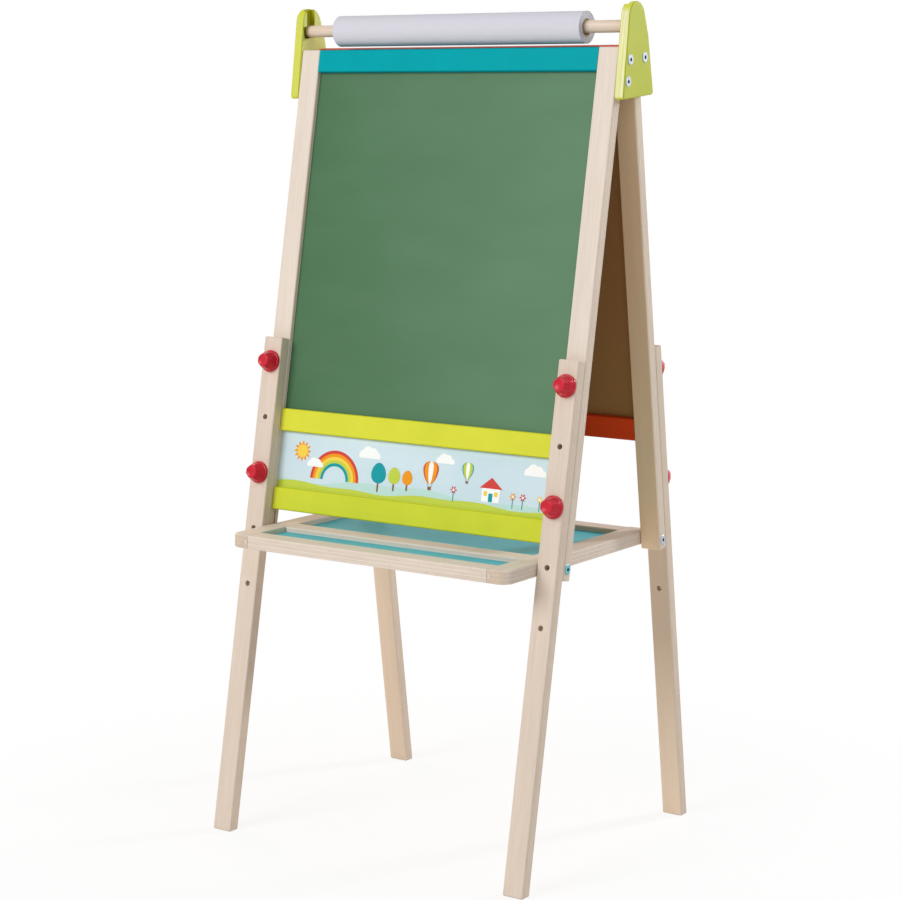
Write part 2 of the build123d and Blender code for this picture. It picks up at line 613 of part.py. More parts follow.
def tray():
    """The tray with its bolts and nuts."""
    pieces = {f"tray_{name}_rail": tray_side_rail(side) for name, side in SIDES.items()}
    pieces["tray_front_rail"] = tray_cross_rail(TRAY_FRONT_Y, False, True)
    pieces["tray_middle_rail"] = tray_cross_rail(TRAY_MIDDLE_Y, True, True)
    pieces["tray_rear_rail"] = tray_cross_rail(TRAY_REAR_Y, True, False)
    pieces["tray_trough_panel"] = tray_panel(TRAY_FRONT_Y + TRAY_RAIL_WIDTH, TRAY_MIDDLE_Y)
    pieces["tray_main_panel"] = tray_panel(TRAY_MIDDLE_Y + TRAY_RAIL_WIDTH, TRAY_REAR_Y)
    pieces["tray_rail_dowels"] = group(tray_dowels(0.0, -1) + tray_dowels(0.0, 1))
    pieces["tray_barrel_nuts"] = group(barrel_nuts())
    pieces["front_tray_bolts"] = group(front_bolts())
    return pieces


def paper_roll():
    """The dowel, cardboard core and paper."""
    core_outer = CORE_BORE + 2 * CORE_WALL
    return {
        "roll_dowel": roll_rod(),
        "roll_core": roll_tube(core_outer, CORE_BORE),
        "paper_roll": roll_tube(PAPER_DIAMETER, core_outer + 2 * PAPER_CORE_CLEARANCE),
    }


def main():
    """Build every piece and write its file."""
    os.makedirs("parts", exist_ok=True)
    pieces = front_frame() | back_frame() | legs_and_knobs() | tray() | paper_roll()
    for name, shape in pieces.items():
        export_step(shape, f"parts/{name}.step")
    print(len(pieces), "nodes")


main()
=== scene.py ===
"""A child's double-sided standing easel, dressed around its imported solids.

Lengths are in millimetres up to the moment a mesh, lamp or camera is made, which is in metres.
X runs across the easel, Y from the chalkboard side to the whiteboard side, Z up from the floor.
"""

from __future__ import annotations

import json
import logging
import math
from dataclasses import dataclass, field
from enum import Enum
from functools import partial

import bpy
import numpy as np
from mathutils import Euler, Matrix, Vector

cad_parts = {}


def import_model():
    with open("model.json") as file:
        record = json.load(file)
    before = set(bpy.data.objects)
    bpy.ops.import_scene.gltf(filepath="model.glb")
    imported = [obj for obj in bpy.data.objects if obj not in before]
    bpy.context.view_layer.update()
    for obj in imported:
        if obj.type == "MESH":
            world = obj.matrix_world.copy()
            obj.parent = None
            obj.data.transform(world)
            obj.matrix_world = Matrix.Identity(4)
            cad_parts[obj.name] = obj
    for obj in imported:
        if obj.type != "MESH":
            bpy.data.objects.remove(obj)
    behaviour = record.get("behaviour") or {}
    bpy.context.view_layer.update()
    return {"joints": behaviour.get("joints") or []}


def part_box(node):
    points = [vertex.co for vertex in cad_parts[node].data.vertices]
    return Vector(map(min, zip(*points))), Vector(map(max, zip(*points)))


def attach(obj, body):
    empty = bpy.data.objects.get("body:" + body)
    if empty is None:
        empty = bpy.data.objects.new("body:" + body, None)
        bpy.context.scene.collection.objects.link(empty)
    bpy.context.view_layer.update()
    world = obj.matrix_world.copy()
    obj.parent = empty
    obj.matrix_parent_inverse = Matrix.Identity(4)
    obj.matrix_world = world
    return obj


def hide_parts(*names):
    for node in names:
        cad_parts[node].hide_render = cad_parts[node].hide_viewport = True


LOG = logging.getLogger("easel")
METRE = 1000.0
TURN = 2 * math.pi
ACROSS = np.array([1.0, 0.0, 0.0])
# A row of points that lie within this many millimetres is one point.
ONE_POINT = 1e-6
WHITE = "#ffffff"
# A Mix node that blends colours: input 0 is the share, 6 and 7 are the colours, output 2 is the blend.
BLEND = {"pick": 2, "data_type": "RGBA"}

Pair = tuple[float, float]
Triple = tuple[float, float, float]
Triad = tuple[str, str, str]
Inputs = dict[int | str, object]
Tree = bpy.types.NodeTree
Socket = bpy.types.NodeSocket


class Side(Enum):
    """A side of the easel as seen from the chalkboard."""

    LEFT = -1
    RIGHT = 1

    @property
    def word(self) -> str:
        """The side's word in the pieces' names."""
        return self.name.lower()


class Ink(Enum):
    """The printed strip's colours, as sRGB."""

    TEAL = "#0f9aa3"
    ORANGE = "#f29a17"
    RED = "#d5433c"
    YELLOW = "#f7d34f"
    LIME = "#c3d24a"
    MINT = "#bfe0d8"
    WHITE = "#fbfcfa"
    BARK = "#8a6042"


def linear(colour: str) -> tuple[float, float, float, float]:
    """Turns an sRGB hex colour to the linear values that shaders take.

    Args:
        colour: "#rrggbb".

    Returns:
        Linear red, green, blue and an alpha of 1.
    """
    channels = np.array([int(colour[i : i + 2], 16) for i in (1, 3, 5)]) / 255.0
    dark = channels / 12.92
    light = ((channels + 0.055) / 1.055) ** 2.4
    return (*np.where(channels <= 0.04045, dark, light).tolist(), 1.0)


def plug(tree: Tree, node: bpy.types.Node, inputs: Inputs) -> None:
    """Sets or links a node's inputs.

    Args:
        tree: the node's tree.
        node: the node.
        inputs: a value, a hex colour or an output socket for each input's name or number.
    """
    for key, value in inputs.items():
        if isinstance(value, Socket):
            tree.links.new(value, node.inputs[key])
        else:
            node.inputs[key].default_value = linear(value) if isinstance(value, str) else value


def add_node(
    tree: Tree, kind: str, inputs: Inputs | None = None, pick: int | str = 0, **settings: object
) -> Socket:
    """Adds a node with its settings and links.

    Args:
        tree: the material's or world's node tree.
        kind: the node's Blender type, without its leading ShaderNode.
        inputs: a value, a hex colour or an output socket for each input's name or number.
        pick: name or number of the output that is wanted.
        settings: the node's own properties.

    Returns:
        That output.
    """
    node = tree.nodes.new(f"ShaderNode{kind}")
    for key, value in settings.items():
        setattr(node, key, value)
    plug(tree, node, inputs or {})
    return node.outputs[pick]


@dataclass(frozen=True)
class BoardAxes:
    """A board's own axes: x across it, y into its thickness from its show face, z along its grain.

    Attributes:
        origin: where the axes start, in millimetres.
        depth: unit vector into the thickness.
        grain: unit vector along the grain.
    """

    origin: Triple
    depth: Triple
    grain: Triple

    def rows(self) -> np.ndarray:
        """The rotation from the easel's axes to the board's, one board axis per row."""
        depth, grain = np.array(self.depth), np.array(self.grain)
        return np.array([np.cross(depth, grain), depth, grain])

    def turn(self) -> Euler:
        """That rotation as a Mapping node takes it."""
        return Matrix(self.rows().tolist()).to_euler("XYZ")

    def place(self, points: np.ndarray) -> np.ndarray:
        """Carries points, in the last axis, from the board's axes to the easel's."""
        return np.asarray(points, float) @ self.rows() + np.array(self.origin)

    def shifted(self, depth: float) -> BoardAxes:
        """The same axes, started deeper into the thickness by that many millimetres."""
        return BoardAxes(tuple(self.place(np.array([0.0, depth, 0.0]))), self.depth, self.grain)

    def coordinates(self, tree: Tree) -> Socket:
        """Adds nodes that give the board's own coordinates.

        Args:
            tree: the material's node tree.

        Returns:
            The socket with the coordinates in millimetres.
        """
        start = -self.rows() @ np.array(self.origin)
        own = add_node(tree, "TexCoord", pick="Object")
        inputs = {"Vector": own, "Location": start, "Rotation": self.turn(), "Scale": (METRE,) * 3}
        return add_node(tree, "Mapping", inputs)

    def facing(self, tree: Tree) -> bpy.types.NodeOutputs:
        """Adds nodes that tell how far the surface faces along each of the board's axes.

        Args:
            tree: the material's node tree.

        Returns:
            Sockets from 0 to 1 for across, depth and grain; the sign is dropped.
        """
        normal = add_node(tree, "NewGeometry", pick="Normal")
        spaces = {"vector_type": "NORMAL", "convert_from": "WORLD", "convert_to": "OBJECT"}
        own = add_node(tree, "VectorTransform", {0: normal}, **spaces)
        turned = add_node(tree, "Mapping", {"Vector": own, "Rotation": self.turn()})
        size = add_node(tree, "VectorMath", {0: turned}, operation="ABSOLUTE")
        return add_node(tree, "SeparateXYZ", {0: size}).node.outputs


EASEL_AXES = BoardAxes((0.0, 0.0, 0.0), (0.0, 1.0, 0.0), (0.0, 0.0, 1.0))


@dataclass(frozen=True)
class Finish:
    """A finish: a real material and how its surface was made.

    Attributes:
        name: the material's name.
        axes: the board axes that its pattern follows.
        sheen: strength of its surface reflection; 0.5 is that of bare lacquer or plastic.
    """

    name: str
    axes: BoardAxes = EASEL_AXES
    sheen: float = 0.15

    def material(self) -> bpy.types.Material:
        """Makes the finish as a node material, or finds the one already made.

        Returns:
            The material.
        """
        made = bpy.data.materials.get(self.name)
        if made:
            return made
        made = bpy.data.materials.new(self.name)
        made.use_nodes = True
        tree = made.node_tree
        shader = tree.nodes["Principled BSDF"]
        plug(tree, shader, {"Specular IOR Level": self.sheen})
        plug(tree, shader, self.paint(tree, self.axes.coordinates(tree)))
        return made

    def paint(self, tree: Tree, place: Socket) -> Inputs:
        """Adds the finish's own nodes to its material.

        Args:
            tree: the material's node tree.
            place: the pattern's coordinates in millimetres.

        Returns:
            What goes into the shader.
        """
        raise NotImplementedError


def grain_noise(tree: Tree, place: Socket, cell: Triple, detail: float = 3.0) -> Socket:
    """Adds a noise whose cells have a real size along each axis.

    Args:
        tree: the material's node tree.
        place: coordinates in millimetres.
        cell: the cells' size along each axis, in millimetres.
        detail: octaves of finer noise.

    Returns:
        The noise, from 0 to 1.
    """
    scale = tuple(1.0 / size for size in cell)
    scaled = add_node(tree, "Mapping", {"Vector": place, "Scale": scale})
    return add_node(tree, "TexNoise", {"Vector": scaled, "Scale": 1.0, "Detail": detail}, "Fac")


@dataclass(frozen=True)
class BirchPlywood(Finish):
    """Birch plywood, sanded and sealed with a clear matt varnish.

    Show faces are pale with a faint long figure; sawn and rounded edges show the plies in turn, the
    cross plies darker because their end grain takes more varnish, with thin brown glue lines that
    come and go and short dark gaps; cut ends are tan all over. A board's inner face can be given a
    warmer colour, a painted warm bounce light for the shade between the frames. Real plies are 1.4 mm
    thick, too fine for the picture, so they are drawn at 2.3 mm. A joint across the grain shows as a
    fine dark line at its distance from the middle.
    """

    thickness: float = 16.0
    plies: int = 7
    seam: float = 0.5
    joint: float = 0.0
    joint_half_line: float = 0.5
    face_light: str = "#e5d8cb"
    face_dark: str = "#dfd0c1"
    cross_light: str = "#dfd0c0"
    cross_dark: str = "#d2bfa9"
    glue: str = "#9a774f"
    gap: str = "#6d5138"
    end: str = "#b8986f"
    inner: str = ""
    inner_reach: Pair = (1.0, 0.2)
    figure_cell: Triple = (2.4, 2.4, 75.0)
    broad_cell: Triple = (16.0, 16.0, 240.0)
    pore_cell: Triple = (1.1, 1.1, 2.6)
    gap_cell: Triple = (0.9, 0.9, 6.0)
    wander_cell: Triple = (30.0, 30.0, 55.0)
    stroke_cell: Triple = (4.0, 4.0, 22.0)

    def paint(self, tree: Tree, place: Socket) -> Inputs:
        """Paints plies by depth, and grain, gaps, glue lines and cut ends on them.

        Args:
            tree: the material's node tree.
            place: the board's coordinates in millimetres.

        Returns:
            What goes into the shader.
        """
        node = partial(add_node, tree)
        _, depth, along = node("SeparateXYZ", {0: place}).node.outputs
        _, flat, cut = self.axes.facing(tree)
        figure = grain_noise(tree, place, self.figure_cell, 4.0)
        broad = grain_noise(tree, place, self.broad_cell, 1.0)
        pores = grain_noise(tree, place, self.pore_cell)
        gaps = grain_noise(tree, place, self.gap_cell, 1.0)
        wander = grain_noise(tree, place, self.wander_cell, 2.0)
        strokes = grain_noise(tree, place, self.stroke_cell, 2.0)
        shift = node("MapRange", {0: wander, 3: -0.18, 4: 0.18})
        rise = {0: depth, 1: self.plies / self.thickness, 2: shift}
        ply = node("Math", rise, operation="MULTIPLY_ADD")
        ply = node("Clamp", {0: ply, 1: 0.02, 2: self.plies - 0.02})
        layer = node("Math", {0: ply}, operation="FLOOR")
        crossed = node("Math", {0: layer, 1: 2.0}, operation="MODULO")
        to_line = node("Math", {0: ply, 1: 1.0}, operation="PINGPONG")
        to_line = node("Math", {0: to_line, 1: 0.5}, operation="SUBTRACT")
        to_line = node("Math", {0: to_line}, operation="ABSOLUTE")
        line = node("MapRange", {0: to_line, 1: 0.38, 2: 0.49})
        edge = node("MapRange", {0: flat, 1: 0.97, 2: 0.80})
        stroke = node("MapRange", {0: strokes, 1: 0.42, 2: 0.66, 3: 0.25})
        seam = node("Math", {0: line, 1: edge}, operation="MULTIPLY")
        seam = node("Math", {0: seam, 1: stroke}, operation="MULTIPLY")
        figured = node("MapRange", {0: figure, 1: 0.35, 2: 0.70})
        face = node("Mix", {0: figured, 6: self.face_light, 7: self.face_dark}, **BLEND)
        # Painted light: the inner colour stands in for warm light bounced onto the inner faces.
        if self.inner:
            start, full = (self.thickness - reach for reach in self.inner_reach)
            behind = node("MapRange", {0: depth, 1: start, 2: full})
            face = node("Mix", {0: behind, 6: face, 7: self.inner}, **BLEND)
        cross = node("Mix", {0: pores, 6: self.cross_light, 7: self.cross_dark}, **BLEND)
        wood = node("Mix", {0: crossed, 6: face, 7: cross}, **BLEND)
        hollow = node("MapRange", {0: gaps, 1: 0.72, 2: 0.80, 4: 0.7})
        hollow = node("Math", {0: hollow, 1: edge}, operation="MULTIPLY")
        wood = node("Mix", {0: hollow, 6: wood, 7: self.gap}, **BLEND)
        tan = node("MapRange", {0: cut, 1: 0.6, 2: 0.9, 4: 0.35})
        wood = node("Mix", {0: tan, 6: wood, 7: self.end}, **BLEND)
        glued = node("Math", {0: seam, 1: self.seam}, operation="MULTIPLY")
        wood = node("Mix", {0: glued, 6: wood, 7: self.glue}, **BLEND)
        if self.joint:
            away = node("Math", {0: along}, operation="ABSOLUTE")
            reach = {0: away, 1: self.joint, 2: self.joint_half_line}
            joined = node("Math", reach, operation="COMPARE")
            joined = node("Math", {0: joined, 1: 0.6}, operation="MULTIPLY")
            wood = node("Mix", {0: joined, 6: wood, 7: self.gap}, **BLEND)
        tone = node("MapRange", {0: broad, 1: 0.3, 2: 0.7, 3: 0.96, 4: 1.02})
        height = node("Math", {0: figure, 1: seam}, operation="SUBTRACT")
        return {
            "Base Color": node("VectorMath", {0: wood, 3: tone}, operation="SCALE"),
            "Roughness": node("MapRange", {0: figure, 3: 0.50, 4: 0.64}),
            "Normal": node("Bump", {"Height": height, "Strength": 0.2, "Distance": 0.0002}),
        }


@dataclass(frozen=True)
class SatinLacquer(Finish):
    """Sprayed satin lacquer on plywood.

    Faces are even with a faint orange peel; the coat is darker on the rounded edges, and sinks
    into the plies of the sawn edges, so thin paler lines run along them where they stand upright.
    """

    colour: str = WHITE
    edge: str = WHITE
    rim: str = WHITE
    sawn: str = WHITE
    line_pitch: float = 3.0
    line_length: float = 60.0
    cloud: float = 45.0
    peel: float = 1.6
    roughness: float = 0.42

    def inside(self, tree: Tree, place: Socket, coat: Socket) -> Socket:
        """The coat as it lies on the piece's inner surfaces, here the same as outside."""
        return coat

    def paint(self, tree: Tree, place: Socket) -> Inputs:
        """Paints the coat, its peel, the gathered rims and the sunk edge lines.

        Args:
            tree: the material's node tree.
            place: the board's coordinates in millimetres.

        Returns:
            What goes into the shader.
        """
        node = partial(add_node, tree)
        _, flat, upward = self.axes.facing(tree)
        cloud = grain_noise(tree, place, (self.cloud,) * 3, 2.0)
        peel = grain_noise(tree, place, (self.peel,) * 3, 1.0)
        streak_cell = (self.line_length, self.line_pitch / 2, self.line_length)
        streak = grain_noise(tree, place, streak_cell, 2.0)
        sawn = node("MapRange", {0: flat, 1: 0.35, 2: 0.15})
        bent = node("MapRange", {0: flat, 1: 0.99, 2: 0.90})
        lines = node("MapRange", {0: streak, 1: 0.35, 2: 0.62, 3: 0.35})
        upright = node("MapRange", {0: upward, 1: 0.7, 2: 0.25})
        lines = node("Math", {0: lines, 1: upright}, operation="MULTIPLY")
        sunk = node("Math", {0: lines, 1: sawn}, operation="MULTIPLY")
        coat = node("Mix", {0: bent, 6: self.colour, 7: self.rim}, **BLEND)
        coat = node("Mix", {0: sawn, 6: coat, 7: self.sawn}, **BLEND)
        coat = node("Mix", {0: sunk, 6: coat, 7: self.edge}, **BLEND)
        coat = self.inside(tree, place, coat)
        tone = node("MapRange", {0: cloud, 1: 0.3, 2: 0.7, 3: 0.97, 4: 1.03})
        gloss = {0: cloud, 3: self.roughness - 0.04, 4: self.roughness + 0.06}
        height = node("Math", {0: peel, 1: sunk}, operation="SUBTRACT")
        return {
            "Base Color": node("VectorMath", {0: coat, 3: tone}, operation="SCALE"),
            "Roughness": node("MapRange", gloss),
            "Normal": node("Bump", {"Height": height, "Strength": 0.12, "Distance": 0.0001}),
        }


@dataclass(frozen=True)
class GroovedLacquer(SatinLacquer):
    """Satin lacquer on a bracket with a channel in its inner face.

    The channel is painted darker, a painted shade for its recess, and the inner face paler, a
    painted light that lifts the shade falling on it.
    Its axes start on the outer face, level with the dowel.
    """

    painted_channel_shade: str = WHITE
    inner: str = WHITE
    thickness: float = 12.5
    channel_depth: float = 6.0
    channel_half: float = 8.2
    face_reach: float = 0.2
    floor_reach: float = 0.3

    def inside(self, tree: Tree, place: Socket, coat: Socket) -> Socket:
        """The coat on the inner face, on the channel's floor and on the walls above the dowel.

        Args:
            tree: the material's node tree.
            place: the bracket's coordinates in millimetres.
            coat: the coat outside.

        Returns:
            The coat all over.
        """
        node = partial(add_node, tree)
        across, depth, along = node("SeparateXYZ", {0: place}).node.outputs
        _, flat, _ = self.axes.facing(tree)
        floor = self.thickness - self.channel_depth
        on_face = {0: depth, 1: self.thickness, 2: self.face_reach}
        on_face = node("Math", on_face, operation="COMPARE")
        # Painted light: the inner face is given a paler coat.
        coat = node("Mix", {0: on_face, 6: coat, 7: self.inner}, **BLEND)
        # Painted shade: the channel's floor and the walls above the dowel take the darker colour.
        on_floor = node("Math", {0: depth, 1: floor, 2: self.floor_reach}, operation="COMPARE")
        on_floor = node("Math", {0: on_floor, 1: flat}, operation="MULTIPLY")
        deep = node("Math", {0: depth, 1: floor}, operation="GREATER_THAN")
        narrow = node("Math", {0: across, 1: 0.0, 2: self.channel_half}, operation="COMPARE")
        above = node("Math", {0: along, 1: -self.channel_half}, operation="GREATER_THAN")
        wall = node("Math", {0: deep, 1: narrow}, operation="MULTIPLY")
        wall = node("Math", {0: wall, 1: above}, operation="MULTIPLY")
        under = node("Math", {0: on_floor, 1: wall}, operation="MAXIMUM")
        return node("Mix", {0: under, 6: coat, 7: self.painted_channel_shade}, **BLEND)


@dataclass(frozen=True)
class CoatedHardboard(Finish):
    """Hardboard with a coat on its show face.

    The raw face is brown pressed fibre with the print of the screen it was pressed on; the coat is
    smooth, with wiped streaks where it is a drawing surface, and a painted sheen that lightens it
    towards one side.
    """

    coat: str = WHITE
    wiped: str = WHITE
    # Painted sheen: share of the wiped colour that the coat gains towards the +X end.
    painted_sheen_drift: float = 0.0
    half_width: float = 207.0
    wipe: Triple = (160.0, 40.0, 60.0)
    coat_depth: float = 0.4
    coat_roughness: float = 0.5
    raw_roughness: float = 0.85
    grit: float = 0.7
    grit_height: float = 0.10
    fibre_light: str = "#b28755"
    fibre_dark: str = "#866138"
    fibre_cell: Triple = (3.0, 3.0, 1.2)
    screen_pitch: float = 1.6

    def paint(self, tree: Tree, place: Socket) -> Inputs:
        """Paints the coat on the show face, and pressed fibre behind it.

        Args:
            tree: the material's node tree.
            place: the board's coordinates in millimetres.

        Returns:
            What goes into the shader.
        """
        node = partial(add_node, tree)
        across, depth, along = node("SeparateXYZ", {0: place}).node.outputs
        fibres = grain_noise(tree, place, self.fibre_cell, 4.0)
        streaks = grain_noise(tree, place, self.wipe, 3.0)
        grit = grain_noise(tree, place, (self.grit,) * 3, 1.0)
        waves = []
        for socket in (across, along):
            angle = node("Math", {0: socket, 1: TURN / self.screen_pitch}, operation="MULTIPLY")
            waves.append(node("Math", {0: angle}, operation="SINE"))
        screen = node("Math", dict(enumerate(waves)), operation="MULTIPLY")
        behind = node("Math", {0: depth, 1: self.coat_depth}, operation="GREATER_THAN")
        # Painted sheen: the coat is lightened from the -X end to the +X end, standing in for a reflection
        # of the lamps.
        wiped = node("MapRange", {0: streaks, 1: 0.35, 2: 0.75, 4: 1.0 - self.painted_sheen_drift})
        ends = {0: across, 1: -self.half_width, 2: self.half_width, 4: self.painted_sheen_drift}
        painted_sheen = node("MapRange", ends)
        wiped = node("Math", {0: wiped, 1: painted_sheen}, operation="ADD")
        coat = node("Mix", {0: wiped, 6: self.coat, 7: self.wiped}, **BLEND)
        fibre = node("Mix", {0: fibres, 6: self.fibre_dark, 7: self.fibre_light}, **BLEND)
        pressed = node("Math", {0: screen, 1: fibres}, operation="ADD")
        smooth = node("Math", {0: grit, 1: self.grit_height}, operation="MULTIPLY")
        height = node("Mix", {0: behind, 2: smooth, 3: pressed}, data_type="FLOAT")
        gloss = {0: behind, 3: self.coat_roughness, 4: self.raw_roughness}
        return {
            "Base Color": node("Mix", {0: behind, 6: coat, 7: fibre}, **BLEND),
            "Roughness": node("MapRange", gloss),
            "Normal": node("Bump", {"Height": height, "Strength": 0.3, "Distance": 0.0002}),
        }


@dataclass(frozen=True)
class BeechRod(Finish):
    """Turned beech, sanded: fine streaks along it and short darker ray flecks."""

    light: str = "#e6d5c5"
    dark: str = "#dac4ae"
    ray: str = "#c4a585"
    streak_cell: Triple = (60.0, 1.6, 1.6)
    ray_cell: Triple = (4.0, 0.7, 0.7)

    def paint(self, tree: Tree, place: Socket) -> Inputs:
        """Paints streaks and flecks along X.

        Args:
            tree: the material's node tree.
            place: the easel's coordinates in millimetres.

        Returns:
            What goes into the shader.
        """
        node = partial(add_node, tree)
        streaks = grain_noise(tree, place, self.streak_cell, 4.0)
        rays = grain_noise(tree, place, self.ray_cell, 1.0)
        figured = node("MapRange", {0: streaks, 1: 0.3, 2: 0.7})
        wood = node("Mix", {0: figured, 6: self.light, 7: self.dark}, **BLEND)
        fleck = node("MapRange", {0: rays, 1: 0.62, 2: 0.75, 4: 0.35})
        return {
            "Base Color": node("Mix", {0: fleck, 6: wood, 7: self.ray}, **BLEND),
            "Roughness": node("MapRange", {0: streaks, 3: 0.46, 4: 0.60}),
            "Normal": node("Bump", {"Height": streaks, "Strength": 0.12, "Distance": 0.0001}),
        }


@dataclass(frozen=True)
class WoundSheet(Finish):
    """Paper or board wound in layers: plain on its round face, ringed on its ends.

    The ring lines follow the piece's own from_axis attribute, its distance from the axis in
    millimetres. Real sheets are 0.1 mm thick, so a ring line stands for several of them.
    """

    face: str = WHITE
    shade: str = WHITE
    ring_light: str = WHITE
    ring_dark: str = WHITE
    ring: float = 0.5
    fibre_cell: Triple = (5.0, 1.2, 1.2)

    def paint(self, tree: Tree, place: Socket) -> Inputs:
        """Paints fibres on the face and rings on the ends.

        Args:
            tree: the material's node tree.
            place: the easel's coordinates in millimetres.

        Returns:
            What goes into the shader.
        """
        node = partial(add_node, tree)
        radius = node("Attribute", pick="Fac", attribute_name="from_axis")
        ends = node("Attribute", pick="Fac", attribute_name="end_face")
        fibres = grain_noise(tree, place, self.fibre_cell, 4.0)
        count = node("Math", {0: radius, 1: 1.0 / self.ring}, operation="MULTIPLY")
        layers = {"W": count, "Scale": 1.0, "Detail": 2.0}
        sheets = node("TexNoise", layers, "Fac", noise_dimensions="1D")
        rings = node("MapRange", {0: sheets, 1: 0.35, 2: 0.65})
        round_face = node("Mix", {0: fibres, 6: self.face, 7: self.shade}, **BLEND)
        end_face = node("Mix", {0: rings, 6: self.ring_light, 7: self.ring_dark}, **BLEND)
        ridged = node("Math", {0: rings, 1: ends}, operation="MULTIPLY")
        height = node("Math", {0: fibres, 1: 0.3, 2: ridged}, operation="MULTIPLY_ADD")
        return {
            "Base Color": node("Mix", {0: ends, 6: round_face, 7: end_face}, **BLEND),
            "Roughness": node("MapRange", {0: fibres, 3: 0.75, 4: 0.92}),
            "Normal": node("Bump", {"Height": height, "Strength": 0.4, "Distance": 0.0002}),
        }


@dataclass(frozen=True)
class MouldedPlastic(Finish):
    """Glossy moulded ABS: an even deep colour with a very faint grain from the mould."""

    colour: str = WHITE
    deep: str = WHITE
    roughness: float = 0.2
    ior: float = 1.53
    flow: float = 7.0
    mould: float = 0.8

    def paint(self, tree: Tree, place: Socket) -> Inputs:
        """Paints the colour's flow marks and the mould's grain.

        Args:
            tree: the material's node tree.
            place: the easel's coordinates in millimetres.

        Returns:
            What goes into the shader.
        """
        node = partial(add_node, tree)
        flow = grain_noise(tree, place, (self.flow,) * 3, 2.0)
        mould = grain_noise(tree, place, (self.mould,) * 3, 1.0)
        gloss = {0: flow, 3: self.roughness - 0.03, 4: self.roughness + 0.07}
        return {
            "Base Color": node("Mix", {0: flow, 6: self.deep, 7: self.colour}, **BLEND),
            "Roughness": node("MapRange", gloss),
            "IOR": self.ior,
            "Normal": node("Bump", {"Height": mould, "Strength": 0.08, "Distance": 0.0001}),
        }


@dataclass(frozen=True)
class PlatedMetal(Finish):
    """Plated or turned metal: mottled, with turning rings that follow the from_axis attribute.

    Sockets, marked by the recess attribute, are given a dark colour: a painted shade for their depth.
    """

    light: str = WHITE
    dark: str = WHITE
    # Painted shade: the colour given to the hex sockets.
    painted_socket_shade: str = "#225160"
    roughness: float = 0.32
    ring: float = 0.7
    mottle: float = 1.4

    def paint(self, tree: Tree, place: Socket) -> Inputs:
        """Paints the mottle and the turning rings.

        Args:
            tree: the material's node tree.
            place: the easel's coordinates in millimetres.

        Returns:
            What goes into the shader.
        """
        node = partial(add_node, tree)
        radius = node("Attribute", pick="Fac", attribute_name="from_axis")
        recess = node("Attribute", pick="Fac", attribute_name="recess")
        angle = node("Math", {0: radius, 1: TURN / self.ring}, operation="MULTIPLY")
        rings = node("Math", {0: angle}, operation="SINE")
        mottle = grain_noise(tree, place, (self.mottle,) * 3, 3.0)
        metal = node("Mix", {0: mottle, 6: self.dark, 7: self.light}, **BLEND)
        gloss = {0: mottle, 3: self.roughness - 0.05, 4: self.roughness + 0.12}
        # The base colour takes the painted socket shade where the recess mark is 1.
        return {
            "Base Color": node("Mix", {0: recess, 6: metal, 7: self.painted_socket_shade}, **BLEND),
            "Metallic": 1.0,
            "Roughness": node("MapRange", gloss),
            "Normal": node("Bump", {"Height": rings, "Strength": 0.1, "Distance": 0.00005}),
        }


@dataclass(frozen=True)
class PrintedInk(Finish):
    """Screen-printed ink under a satin seal: even, with the faint dapple of the screen."""

    colour: str = WHITE
    dapple: float = 0.9
    roughness: float = 0.45

    def paint(self, tree: Tree, place: Socket) -> Inputs:
        """Paints the ink and its dapple.

        Args:
            tree: the material's node tree.
            place: the easel's coordinates in millimetres.

        Returns:
            What goes into the shader.
        """
        dapple = grain_noise(tree, place, (self.dapple,) * 3, 1.0)
        tone = add_node(tree, "MapRange", {0: dapple, 1: 0.3, 2: 0.7, 3: 0.96, 4: 1.03})
        ink = {0: linear(self.colour)[:3], 3: tone}
        toned = add_node(tree, "VectorMath", ink, operation="SCALE")
        return {"Base Color": toned, "Roughness": self.roughness}


